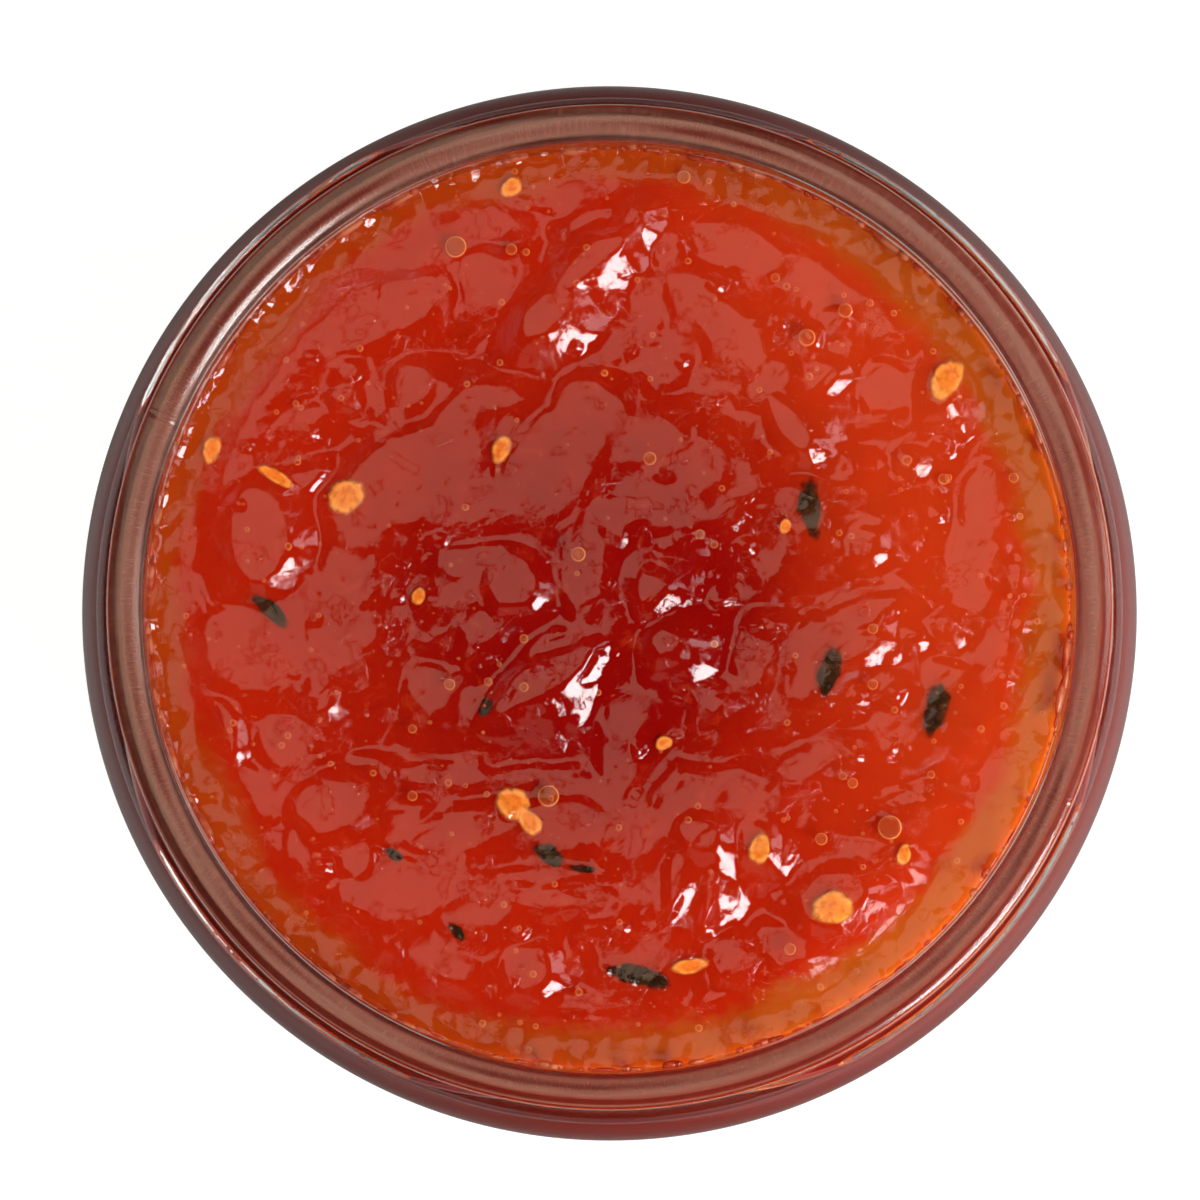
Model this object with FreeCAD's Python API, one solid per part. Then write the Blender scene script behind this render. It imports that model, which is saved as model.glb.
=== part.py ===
"""Open glass jar filled with tomato jam.

The jar is a wide-mouthed, round, twist-off preserving jar standing on its base, +Z up, with the origin at the
centre of the foot. It is pressed in one piece: a foot ring under a pushed-up base, a round heel, a straight body,
a short shoulder, a transfer bead, four slanting lid threads and a crowned lip. The jam fills it up to a lumpy
surface a little below the lip. All sizes are in millimetres.
"""

import FreeCAD
import Part

import math
import os
from collections import namedtuple

# Glass jar, overall
JAR_HEIGHT = 88.0  # foot to the top of the lip
MOUTH_RADIUS = 32.2  # clear radius inside the lip and neck
LIP_WALL = 2.6  # glass thickness at the lip
SHOULDER_STEP = 3.05  # how far the body stands out beyond the lip
BODY_WALL = 2.4

# Foot and base
HEEL_RADIUS = 6.0
FOOT_WIDTH = 4.0  # flat ring that the jar stands on
BASE_THICKNESS = 5.0
PUNT_RISE = 2.4  # push-up of the underside at the centre

# Shoulder and neck
SHOULDER_RADIUS = 5.0
NECK_FILLET = 1.6
NECK_RECESS = 0.5  # the neck below the bead, in from the lip
FINISH_HEIGHT = 16.0  # lip down to the top of the shoulder
FINISH_DRAFT = 0.35  # how much the thread wall widens from lip to bead

# Transfer bead
BEAD_DEPTH = 12.4  # lip down to the bead's middle
BEAD_HEIGHT = 2.6
BEAD_PROUD = 1.1

# Lip
LIP_CROWN_RADIUS = 2.2
LIP_CREST = 0.25  # how far the crown's crest lies outside the middle of the lip
LIP_OUTER_EDGE = 0.4
LIP_INNER_EDGE = 0.6

# Lid threads
THREAD_STARTS = 4
THREAD_SPAN_DEG = 66.0
THREAD_FIRST_DEG = 14.0
THREAD_DEPTH = 4.2  # lip down to a thread's upper end
THREAD_DROP = 3.0
THREAD_ROUND = 1.0  # radius of a thread's round section
THREAD_PROUD = 0.9
THREAD_STATIONS = 11

# Jam
HEADSPACE = 8.0  # lip down to the jam at the wall
WALL_BAND = 1.3  # level band of jam along the wall
WALL_EASE = 3.0  # width over which the lumps die out towards that band
FALL_TURN_DEG = -45.6  # the way that the lumps' long sides run down
LUMP_STEEP = 0.75  # slope of a lump's short side
LUMP_FALL = 0.15  # slope of its long side
LUMP_EDGE = 0.8  # how softly its flat top bends over
LUMP_BLEND = 3.6  # per mm: higher joins neighbouring lumps with a tighter crease
DOME_SINK = 0.7  # how much lower the surface lies near the wall than in the middle
SURFACE_STEP = 1.3  # spacing of the surface's control rows
SURFACE_MARGIN = 2.0  # how far the surface is built beyond the mouth

Lump = namedtuple("Lump", "x y length width turn height")

# Soft tomato pieces under the skin of jelly: centre, half length, half width, turn in degrees, height
LUMPS = (
    # upper-left band
    Lump(-26.2, 11.0, 6.8, 1.9, 84, 1.3),
    Lump(-19.8, 20.2, 7.0, 2.0, 22, 1.4),
    Lump(-24.6, 16.6, 3.0, 2.0, 50, 1.35),
    # oval chunk
    Lump(-24.5, 4.8, 3.4, 1.7, 85, 2.3),
    # left plateau
    Lump(-25.0, -2.8, 6.2, 2.5, -6, 1.3),
    Lump(-19.2, 2.2, 4.4, 1.7, 80, 1.5),
    Lump(-29.0, -5.6, 3.0, 1.6, -60, 1.0),
    # mid-left plateau
    Lump(-13.2, 8.6, 4.4, 2.7, 18, 1.9),
    Lump(-17.4, 6.8, 2.6, 1.6, 60, 1.7),
    # hook
    Lump(-9.6, 13.7, 2.8, 0.9, 38, 1.9),
    # crosswise ridge
    Lump(-5.4, 9.4, 3.6, 1.5, 52, 2.0),
    Lump(-0.5, 12.0, 3.4, 2.0, -6, 2.1),
    Lump(5.0, 9.6, 4.6, 3.1, -22, 2.1),
    # its stem
    Lump(-1.4, 2.6, 4.6, 1.1, 90, 2.0),
    # its tail
    Lump(12.6, 7.0, 2.8, 1.0, -22, 1.7),
    # lobe patch
    Lump(-8.4, 2.4, 3.7, 1.5, -4, 2.2),
    # patch beyond the lobe's foot
    Lump(1.4, -4.8, 1.4, 3.2, 0, 1.3),
    # lower band
    Lump(-9.0, -12.2, 6.0, 0.7, 2, 1.0),
    Lump(-4.2, -14.4, 5.2, 1.5, 4, 1.5),
    # arch
    Lump(4.8, -13.6, 2.6, 1.9, 42, 1.7),
    Lump(9.4, -13.0, 2.8, 1.7, -36, 1.7),
    # round piece
    Lump(-18.2, -14.2, 1.9, 2.4, 0, 1.9),
    # lower-left
    Lump(-15.0, -19.6, 5.6, 1.5, 14, 1.5),
    Lump(-17.2, -22.2, 2.4, 2.0, -40, 1.4),
    # front edges
    Lump(-4.2, -19.0, 4.2, 0.6, -4, 1.6),
    Lump(0.6, -26.0, 2.0, 2.4, 10, 1.3),
    Lump(9.0, -24.4, 4.0, 1.0, -14, 1.3),
    Lump(7.0, -17.0, 1.6, 2.2, -30, 1.9),
    Lump(16.4, -20.6, 2.6, 1.4, 44, 1.6),
    # upper right
    Lump(14.6, 25.4, 5.6, 1.8, -16, 1.3),
    Lump(21.4, 20.9, 3.4, 1.3, -46, 1.2),
    Lump(9.4, 23.2, 2.4, 1.9, -40, 1.4),
    Lump(8.4, 18.4, 4.4, 1.5, -40, 1.9),
    Lump(2.0, 17.6, 2.6, 1.5, 10, 1.4),
    # ridge with the large glint
    Lump(-2.0, 23.2, 5.0, 0.9, 52, 2.1),
    # back
    Lump(0.4, 29.2, 5.6, 1.0, -2, 1.1),
    # right
    Lump(25.6, 3.8, 4.6, 1.0, 87, 1.1),
    # right middle piece
    Lump(15.4, -2.4, 2.6, 1.3, 70, 1.6),
    Lump(19.0, -2.4, 2.8, 1.1, 14, 1.7),
)

# Sizes that follow from those above
LIP_RADIUS = MOUTH_RADIUS + LIP_WALL
BODY_RADIUS = LIP_RADIUS + SHOULDER_STEP
BODY_INNER = BODY_RADIUS - BODY_WALL
NECK_RADIUS = LIP_RADIUS - NECK_RECESS
BEAD_MIDDLE = JAR_HEIGHT - BEAD_DEPTH
BEAD_ROOT_RADIUS = LIP_RADIUS + FINISH_DRAFT
JAM_LEVEL = JAR_HEIGHT - HEADSPACE


def point(radius, height):
    """A point of the half section, which is drawn in the XZ plane."""
    return FreeCAD.Vector(radius, 0, height)


def line(start, end):
    return Part.LineSegment(start, end).toShape()


def arc(centre, radius, start_deg, end_deg):
    """An arc of the half section about centre, from one angle to another, 0 pointing outwards and 90 up."""
    def at(angle):
        turn = math.radians(angle)
        return centre + point(radius * math.cos(turn), radius * math.sin(turn))

    return Part.Arc(at(start_deg), at((start_deg + end_deg) / 2), at(end_deg)).toShape()


def shoulder_height(step, convex, concave):
    """How much a shoulder of two tangent arcs rises while it comes in by step."""
    return math.sqrt((convex + concave) ** 2 - (convex + concave - step) ** 2)


def shoulder(wide, narrow, foot, convex, concave):
    """The two tangent arcs from a body of radius wide up to a neck of radius narrow."""
    step = wide - narrow
    rise = shoulder_height(step, convex, concave)
    lean = math.degrees(math.atan2(rise, convex + concave - step))
    lower = arc(point(wide - convex, foot), convex, 0, lean)
    upper = arc(point(narrow + concave, foot + rise), concave, 180 + lean, 180)
    return [lower, upper]


def lip():
    """The crowned lip from the outer wall over to the inner wall, and the heights where it meets them."""
    crest = MOUTH_RADIUS + LIP_WALL / 2 + LIP_CREST
    crown_centre = JAR_HEIGHT - LIP_CROWN_RADIUS
    outer_reach = LIP_RADIUS - LIP_OUTER_EDGE - crest
    inner_reach = crest - MOUTH_RADIUS - LIP_INNER_EDGE
    outer_spread = LIP_CROWN_RADIUS - LIP_OUTER_EDGE
    inner_spread = LIP_CROWN_RADIUS - LIP_INNER_EDGE
    outer_height = crown_centre + math.sqrt(outer_spread ** 2 - outer_reach ** 2)
    inner_height = crown_centre + math.sqrt(inner_spread ** 2 - inner_reach ** 2)
    outer_lean = math.degrees(math.acos(outer_reach / outer_spread))
    inner_lean = 180 - math.degrees(math.acos(inner_reach / inner_spread))
    outer = arc(point(crest + outer_reach, outer_height), LIP_OUTER_EDGE, 0, outer_lean)
    crown = arc(point(crest, crown_centre), LIP_CROWN_RADIUS, outer_lean, inner_lean)
    inner = arc(point(crest - inner_reach, inner_height), LIP_INNER_EDGE, inner_lean, 180)
    return [outer, crown, inner], outer_height, inner_height


def punt():
    """The shallow arc of the underside, from its middle out to the foot ring."""
    edge = BODY_RADIUS - HEEL_RADIUS - FOOT_WIDTH
    radius = (edge ** 2 + PUNT_RISE ** 2) / (2 * PUNT_RISE)
    half_angle = math.degrees(math.asin(edge / radius))
    return arc(point(0, PUNT_RISE - radius), radius, 90, 90 - half_angle)


def cavity_edges(lip_height):
    """The inner half section from the lip down to the middle of the floor."""
    foot = shoulder_foot()
    inner_heel = HEEL_RADIUS - BODY_WALL
    bend = SHOULDER_RADIUS - BODY_WALL
    fillet = NECK_FILLET + BODY_WALL
    neck_foot = foot + shoulder_height(BODY_INNER - MOUTH_RADIUS, bend, fillet)
    heel_top = BASE_THICKNESS + inner_heel
    lower, upper = shoulder(BODY_INNER, MOUTH_RADIUS, foot, bend, fillet)
    return [
        line(point(MOUTH_RADIUS, lip_height), point(MOUTH_RADIUS, neck_foot)),
        upper,
        lower,
        line(point(BODY_INNER, foot), point(BODY_INNER, heel_top)),
        arc(point(BODY_INNER - inner_heel, heel_top), inner_heel, 0, -90),
        line(point(BODY_INNER - inner_heel, BASE_THICKNESS), point(0, BASE_THICKNESS)),
    ]


def shoulder_foot():
    """Height where the straight body ends and the shoulder begins."""
    rise = shoulder_height(BODY_RADIUS - NECK_RADIUS, SHOULDER_RADIUS, NECK_FILLET)
    return JAR_HEIGHT - FINISH_HEIGHT - rise


def outer_edges(lip_height):
    """The outer half section from the middle of the underside up to the lip."""
    heel_centre = point(BODY_RADIUS - HEEL_RADIUS, HEEL_RADIUS)
    foot_outer = BODY_RADIUS - HEEL_RADIUS
    foot = shoulder_foot()
    neck_top = BEAD_MIDDLE - BEAD_HEIGHT / 2
    bead_top = BEAD_MIDDLE + BEAD_HEIGHT / 2
    bead = Part.Arc(
        point(NECK_RADIUS, neck_top),
        point(BEAD_ROOT_RADIUS + BEAD_PROUD, BEAD_MIDDLE),
        point(BEAD_ROOT_RADIUS, bead_top),
    ).toShape()
    return [
        punt(),
        line(point(foot_outer - FOOT_WIDTH, 0), point(foot_outer, 0)),
        arc(heel_centre, HEEL_RADIUS, -90, 0),
        line(point(BODY_RADIUS, HEEL_RADIUS), point(BODY_RADIUS, foot)),
        *shoulder(BODY_RADIUS, NECK_RADIUS, foot, SHOULDER_RADIUS, NECK_FILLET),
        line(point(NECK_RADIUS, JAR_HEIGHT - FINISH_HEIGHT), point(NECK_RADIUS, neck_top)),
        bead,
        line(point(BEAD_ROOT_RADIUS, bead_top), point(LIP_RADIUS, lip_height)),
    ]


def turned(edges):
    """The solid that a closed half section sweeps about the jar's axis."""
    face = Part.Face(Part.Wire(edges))
    return face.revolve(FreeCAD.Vector(0, 0, 0), FreeCAD.Vector(0, 0, 1), 360)


def wall_radius(height):
    """Radius of the drafted thread wall at a height."""
    _, lip_height, _ = lip()
    bead_top = BEAD_MIDDLE + BEAD_HEIGHT / 2
    share = (lip_height - height) / (lip_height - bead_top)
    return LIP_RADIUS + FINISH_DRAFT * share


def thread(start_deg):
    """One lid thread: a round bar that comes out of the glass, slants down and runs back into it."""
    sink = THREAD_PROUD + THREAD_ROUND / 4
    stations = []
    for step in range(THREAD_STATIONS):
        share = step / (THREAD_STATIONS - 1)
        turn = math.radians(start_deg + THREAD_SPAN_DEG * share)
        height = JAR_HEIGHT - THREAD_DEPTH - THREAD_DROP * share
        out = min(1.0, 1.6 * math.sin(math.pi * share))
        radius = wall_radius(height) - THREAD_ROUND - sink + (THREAD_PROUD + sink) * out
        stations.append(FreeCAD.Vector(radius * math.cos(turn), radius * math.sin(turn), height))
    path = Part.BSplineCurve()
    path.interpolate(stations)
    start = path.StartPoint
    heading = path.tangent(path.FirstParameter)[0]
    section = Part.Wire(Part.Circle(start, heading, THREAD_ROUND).toShape())
    return Part.Wire(path.toShape()).makePipeShell([section], True, False)


def lump_height(lump, x, y):
    """Height of one lump: a flat oval top that falls away steeply on one side and gently on the other."""
    turn = math.radians(lump.turn)
    off_x = x - lump.x
    off_y = y - lump.y
    along = (off_x * math.cos(turn) + off_y * math.sin(turn)) / lump.length
    across = (off_y * math.cos(turn) - off_x * math.sin(turn)) / lump.width
    share = max(math.hypot(along, across), 0.001)
    far = max(math.hypot(off_x, off_y), 0.001)
    fall = math.radians(FALL_TURN_DEG)
    facing = (off_x * math.cos(fall) + off_y * math.sin(fall)) / far
    slope = LUMP_FALL + (LUMP_STEEP - LUMP_FALL) * smooth_step((0.25 - facing) / 0.8)
    beyond = far * max(0.0, 1 - 1 / share)
    return lump.height - slope * (math.hypot(beyond, LUMP_EDGE) - LUMP_EDGE)


def smooth_step(share):
    """Goes smoothly from 0 to 1 while share does."""
    share = min(1.0, max(0.0, share))
    return share * share * (3 - 2 * share)


def jam_height(x, y):
    """Height of the jam's surface at a place."""
    blend = 1 + sum(math.exp(LUMP_BLEND * lump_height(lump, x, y)) for lump in LUMPS)
    out = math.hypot(x, y)
    relief = math.log(blend) / LUMP_BLEND - DOME_SINK * (out / MOUTH_RADIUS) ** 2
    return JAM_LEVEL + relief * smooth_step((MOUTH_RADIUS - WALL_BAND - out) / WALL_EASE)


def jam_surface():
    """The jam's uneven top as one smooth sheet, a little wider than the mouth."""
    reach = MOUTH_RADIUS + SURFACE_MARGIN
    rows = 2 * math.ceil(reach / SURFACE_STEP) + 1
    places = [-reach + 2 * reach * row / (rows - 1) for row in range(rows)]
    grid = [[FreeCAD.Vector(x, y, jam_height(x, y)) for y in places] for x in places]
    sheet = Part.BSplineSurface()
    sheet.interpolate(grid)
    return sheet.toShape()


def make_glass():
    lip_edges, outer_height, inner_height = lip()
    section = [*outer_edges(outer_height), *lip_edges, *cavity_edges(inner_height)]
    section.append(line(point(0, BASE_THICKNESS), point(0, PUNT_RISE)))
    glass = turned(section)
    pitch = 360 / THREAD_STARTS
    for start in range(THREAD_STARTS):
        glass = glass.fuse(thread(THREAD_FIRST_DEG + pitch * start))
    return glass


def make_jam():
    """What the inside of the jar holds below the jam's surface, face to face with the glass."""
    _, _, lip_height = lip()
    inside = cavity_edges(lip_height)
    inside.append(line(point(0, BASE_THICKNESS), point(0, lip_height)))
    inside.append(line(point(0, lip_height), point(MOUTH_RADIUS, lip_height)))
    above = jam_surface().extrude(FreeCAD.Vector(0, 0, 2 * HEADSPACE))
    return turned(inside).cut(above)


def main():
    os.makedirs("parts", exist_ok=True)
    for name, shape in {"glass_jar": make_glass(), "jam": make_jam()}.items():
        solid = shape.Solids[0]
        litres = solid.Volume / 1e6
        print(name, "solids", len(shape.Solids), "valid", solid.isValid(), "litres", round(litres, 4))
        solid.exportStep(os.path.join("parts", name + ".step"))


main()
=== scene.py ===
"""Looks of an open glass jar of tomato jam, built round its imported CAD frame.

The jar is a thick, wide-mouthed preserving jar. The jam in it is a soft red preserve: tomato flesh in a
clear jelly, with seeds, thyme leaves and air bubbles. Each sub-assembly is a class that holds its sizes and
builds and dresses its own pieces. Sizes of shapes are in millimetres, and those of finishes and of the
studio in metres.
"""

import logging
import math
from dataclasses import dataclass, field
from typing import Any, Callable, Optional, Sequence

import bpy
import numpy as np
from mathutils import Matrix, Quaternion, Vector

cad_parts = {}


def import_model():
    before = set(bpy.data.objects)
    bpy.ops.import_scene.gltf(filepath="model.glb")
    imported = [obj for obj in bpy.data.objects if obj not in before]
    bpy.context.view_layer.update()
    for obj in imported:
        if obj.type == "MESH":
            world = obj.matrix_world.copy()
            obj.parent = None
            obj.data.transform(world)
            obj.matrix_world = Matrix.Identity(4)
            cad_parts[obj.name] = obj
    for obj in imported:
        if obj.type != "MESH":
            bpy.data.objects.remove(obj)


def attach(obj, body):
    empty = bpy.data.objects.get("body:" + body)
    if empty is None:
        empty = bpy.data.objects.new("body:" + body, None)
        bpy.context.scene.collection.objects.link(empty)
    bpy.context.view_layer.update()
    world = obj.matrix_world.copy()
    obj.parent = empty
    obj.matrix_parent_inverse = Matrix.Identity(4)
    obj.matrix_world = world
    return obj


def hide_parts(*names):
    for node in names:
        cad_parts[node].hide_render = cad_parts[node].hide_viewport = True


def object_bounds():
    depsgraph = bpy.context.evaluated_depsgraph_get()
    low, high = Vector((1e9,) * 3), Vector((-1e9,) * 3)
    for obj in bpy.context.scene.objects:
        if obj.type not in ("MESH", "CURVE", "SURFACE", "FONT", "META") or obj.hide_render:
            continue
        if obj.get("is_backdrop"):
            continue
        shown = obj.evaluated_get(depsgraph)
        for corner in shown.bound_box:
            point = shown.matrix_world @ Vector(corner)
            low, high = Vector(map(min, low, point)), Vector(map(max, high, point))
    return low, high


logging.basicConfig(level=logging.INFO, format="%(message)s")
LOG = logging.getLogger("tomato_jam")

MM = 0.001
TINY = 1e-6
HEADSPACE = 8.0  # from the lip down to the jam, in millimetres
Colour = tuple[float, float, float]
Point = tuple[float, float]


# ------------------------------------------------------------
# Shader building
# ------------------------------------------------------------


class Sock:
    """A shader socket that can be used in ordinary arithmetic; each operation adds a Math node."""

    def __init__(self, shader: "Shader", socket: bpy.types.NodeSocket) -> None:
        """Wraps a socket.

        Args:
            shader: the shader that the socket's node belongs to.
            socket: an output socket.
        """
        self.shader = shader
        self.socket = socket

    def _math(self, operation: str, *values: Any, clamp: bool = False) -> "Sock":
        """Adds one Math node.

        Args:
            operation: the Math node's operation.
            values: its inputs, as sockets or numbers.
            clamp: whether the result is kept between 0 and 1.

        Returns:
            The node's result.
        """
        settings = {"operation": operation, "use_clamp": clamp}
        return self.shader.node("ShaderNodeMath", settings, dict(enumerate(values)))

    def __add__(self, other: Any) -> "Sock":
        """Sum."""
        return self._math("ADD", self, other)

    __radd__ = __add__

    def __sub__(self, other: Any) -> "Sock":
        """Difference."""
        return self._math("SUBTRACT", self, other)

    def __rsub__(self, other: Any) -> "Sock":
        """Difference, reflected."""
        return self._math("SUBTRACT", other, self)

    def __mul__(self, other: Any) -> "Sock":
        """Product."""
        return self._math("MULTIPLY", self, other)

    __rmul__ = __mul__

    def __truediv__(self, other: Any) -> "Sock":
        """Quotient."""
        return self._math("DIVIDE", self, other)

    def power(self, exponent: Any) -> "Sock":
        """This value raised to an exponent."""
        return self._math("POWER", self, exponent)

    def clamped(self) -> "Sock":
        """This value kept between 0 and 1."""
        return self._math("ADD", self, 0.0, clamp=True)

    def most(self, other: Any) -> "Sock":
        """The larger of two values."""
        return self._math("MAXIMUM", self, other)

    def hump(self) -> "Sock":
        """1 where this value is 0, falling to 0 where it reaches 1 or -1."""
        return (1.0 - self * self).clamped()

    def step(self, low: float, high: float) -> "Sock":
        """A smooth step from 0 at low to 1 at high.

        Args:
            low: value at which it starts.
            high: value at which it ends.

        Returns:
            The step.
        """
        return self.shader.node(
            "ShaderNodeMapRange",
            {"interpolation_type": "SMOOTHSTEP"},
            {"Value": self, "From Min": low, "From Max": high},
        )


class Shader:
    """The node tree of a material or a world, built node by node."""

    def __init__(self, owner: bpy.types.ID) -> None:
        """Empties a tree.

        Args:
            owner: the new material or world.
        """
        self.owner = owner
        self.owner.use_nodes = True
        self.tree = self.owner.node_tree
        self.tree.nodes.clear()

    def node(
        self,
        kind: str,
        settings: Optional[dict[str, Any]] = None,
        inputs: Optional[dict[Any, Any]] = None,
        output: Any = 0,
    ) -> Sock:
        """Adds a node.

        Args:
            kind: the node's type.
            settings: attributes of the node, set before its sockets; "stops" fills a colour ramp.
            inputs: values or links by socket name or number.
            output: which output the result wraps.

        Returns:
            The chosen output.
        """
        node = self.tree.nodes.new(kind)
        for key, value in (settings or {}).items():
            if key == "stops":
                self._fill_ramp(node.color_ramp, value)
            else:
                setattr(node, key, value)
        for key, value in (inputs or {}).items():
            socket = node.inputs[key]
            if isinstance(value, Sock):
                self.tree.links.new(value.socket, socket)
            elif isinstance(value, tuple) and len(value) == 3 and socket.type == "RGBA":
                socket.default_value = (*value, 1.0)
            else:
                socket.default_value = value
        return Sock(self, node.outputs[output])

    @staticmethod
    def _fill_ramp(ramp: bpy.types.ColorRamp, stops: Sequence[tuple[float, Colour]]) -> None:
        """Sets a ramp's stops and eases between them.

        Args:
            ramp: the ramp.
            stops: places from 0 to 1 with their colours.
        """
        ramp.interpolation = "EASE"
        while len(ramp.elements) < len(stops):
            ramp.elements.new(1.0)
        for element, (place, colour) in zip(ramp.elements, stops):
            element.position = place
            element.color = (*colour, 1.0)

    def place(self) -> Sock:
        """Object coordinates, which are the jar's own frame in metres."""
        return self.node("ShaderNodeTexCoord", output="Object")

    def ray(self, kind: str) -> Sock:
        """1 for rays of a kind, such as Is Camera Ray."""
        return self.node("ShaderNodeLightPath", output=kind)

    def parts(self, vector: Sock) -> tuple[Sock, Sock, Sock]:
        """The x, y and z of a vector.

        Args:
            vector: a vector socket.

        Returns:
            Its three parts.
        """
        split = self.node("ShaderNodeSeparateXYZ", inputs={0: vector})
        outputs = split.socket.node.outputs
        return Sock(self, outputs[0]), Sock(self, outputs[1]), Sock(self, outputs[2])

    def noise(self, size: float, detail: float = 2.0, rough: float = 0.5, warp: float = 0.0) -> Sock:
        """Noise of a feature size in metres, from 0 to 1."""
        look = {"Scale": 1.0 / size, "Detail": detail, "Roughness": rough, "Distortion": warp}
        return self.node("ShaderNodeTexNoise", {}, {"Vector": self.place(), **look})

    def polar_noise(self, around: float, inward: float, detail: float = 2.0) -> Sock:
        """Noise drawn out round the jar's axis.

        Args:
            around: how many features fit round a unit circle.
            inward: feature size along the radius in metres.
            detail: the noise's detail.

        Returns:
            The noise, from 0 to 1.
        """
        x, y, _ = self.parts(self.place())
        out = (x * x + y * y).power(0.5).most(1e-5)
        spread = {0: x / out * around, 1: y / out * around, 2: out / inward}
        vector = self.node("ShaderNodeCombineXYZ", {}, spread)
        return self.node("ShaderNodeTexNoise", {}, {"Vector": vector, "Scale": 1.0, "Detail": detail})

    def blend(self, share: Any, first: Any, second: Any) -> Sock:
        """Two colours mixed; share 0 gives the first and 1 the second."""
        colours = {0: share, 6: first, 7: second}
        return self.node("ShaderNodeMix", {"data_type": "RGBA"}, colours, output=2)

    def attribute(self, name: str) -> Sock:
        """A value stored on the mesh."""
        return self.node("ShaderNodeAttribute", {"attribute_name": name}, output="Fac")

    def bump(self, height: Sock, distance: float, **under: Sock) -> Sock:
        """A normal bumped by a height of 0 to 1 over a distance in metres, on another Normal if given."""
        return self.node("ShaderNodeBump", {}, {"Height": height, "Distance": distance, **under})

    def principled(self, **inputs: Any) -> Sock:
        """A Principled shader; underscores in names stand for spaces."""
        named = {name.replace("_", " "): value for name, value in inputs.items()}
        return self.node("ShaderNodeBsdfPrincipled", {}, named)

    def clear(self, tint: Colour = (1.0, 1.0, 1.0)) -> Sock:
        """A shader that lets light straight through."""
        return self.node("ShaderNodeBsdfTransparent", {}, {"Color": tint})

    def mix(self, share: Any, first: Sock, second: Sock) -> Sock:
        """Two shaders mixed; share 0 gives the first and 1 the second."""
        return self.node("ShaderNodeMixShader", {}, {0: share, 1: first, 2: second})

    def finish(self, surface: Sock) -> bpy.types.ID:
        """Ends the tree with its surface shader and gives back the material or world.

        Args:
            surface: the shader that the tree ends with.

        Returns:
            The material or world.
        """
        kind = "World" if isinstance(self.owner, bpy.types.World) else "Material"
        end = self.tree.nodes.new("ShaderNodeOutput" + kind)
        self.tree.links.new(surface.socket, end.inputs["Surface"])
        return self.owner


# ------------------------------------------------------------
# Modelling helpers
# ------------------------------------------------------------


def deselect() -> None:
    """Leaves edit mode and deselects every object."""
    if bpy.context.object and bpy.context.object.mode != "OBJECT":
        bpy.ops.object.mode_set(mode="OBJECT")
    bpy.ops.object.select_all(action="DESELECT")


def activate(piece: bpy.types.Object) -> None:
    """Makes a piece the only selected and the active object.

    Args:
        piece: the piece.
    """
    deselect()
    piece.select_set(True)
    bpy.context.view_layer.objects.active = piece


def settle(piece: bpy.types.Object, name: str) -> bpy.types.Object:
    """Ends a piece's modelling: object at the origin, doubles merged, faces outward, smooth shading.

    Args:
        piece: the piece.
        name: its final name.

    Returns:
        The piece.
    """
    activate(piece)
    bpy.ops.object.transform_apply(location=True, rotation=True, scale=True)
    bpy.ops.object.mode_set(mode="EDIT")
    bpy.ops.mesh.select_all(action="SELECT")
    bpy.ops.mesh.remove_doubles(threshold=1e-7)
    bpy.ops.mesh.normals_make_consistent(inside=False)
    bpy.ops.object.mode_set(mode="OBJECT")
    bpy.ops.object.shade_smooth_by_angle(angle=math.pi)
    piece.name = name
    piece.data.name = name
    return piece


def dress(
    piece: bpy.types.Object, material: bpy.types.Material, replaces: Optional[str] = None
) -> None:
    """Gives a piece its material and ties it to the frame.

    Args:
        piece: the piece.
        material: its material.
        replaces: the CAD node that it stands for, if any.
    """
    piece.data.materials.clear()
    piece.data.materials.append(material)
    if replaces:
        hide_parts(replaces)
    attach(piece, "root")
    LOG.info("%s: %d faces", piece.name, len(piece.data.polygons))


def places(piece: bpy.types.Object) -> np.ndarray:
    """A mesh's vertex places as an array of rows.

    Args:
        piece: the piece.

    Returns:
        One row of x, y and z for each vertex.
    """
    flat = np.empty(len(piece.data.vertices) * 3)
    piece.data.vertices.foreach_get("co", flat)
    return flat.reshape(-1, 3)


def put_places(piece: bpy.types.Object, rows: np.ndarray) -> None:
    """Moves a mesh's vertices to new places."""
    piece.data.vertices.foreach_set("co", rows.reshape(-1))
    piece.data.update()


def mark(piece: bpy.types.Object, name: str, values: np.ndarray) -> None:
    """Stores a value at each vertex for the piece's material."""
    piece.data.attributes.new(name, "FLOAT", "POINT").data.foreach_set("value", values)


def turned(rows: np.ndarray, angle: float) -> np.ndarray:
    """Places turned about the vertical by an angle in radians.

    Args:
        rows: the places.
        angle: the turn.

    Returns:
        The turned places.
    """
    cos, sin = math.cos(angle), math.sin(angle)
    x, y = rows[:, 0] * cos - rows[:, 1] * sin, rows[:, 0] * sin + rows[:, 1] * cos
    return np.stack([x, y, rows[:, 2]], axis=1)


def joined(pieces: Sequence[bpy.types.Object]) -> bpy.types.Object:
    """Joins pieces into the first of them.

    Args:
        pieces: the pieces.

    Returns:
        The joined piece.
    """
    activate(pieces[0])
    for piece in pieces[1:]:
        piece.select_set(True)
    bpy.ops.object.join()
    return pieces[0]


def ball(segments: int, rings: int) -> bpy.types.Object:
    """A new ball of radius 1 at the origin.

    Args:
        segments: how many faces go round it.
        rings: how many go from pole to pole.

    Returns:
        The new object.
    """
    deselect()
    bpy.ops.mesh.primitive_uv_sphere_add(segments=segments, ring_count=rings, radius=1.0)
    return bpy.context.object


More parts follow.
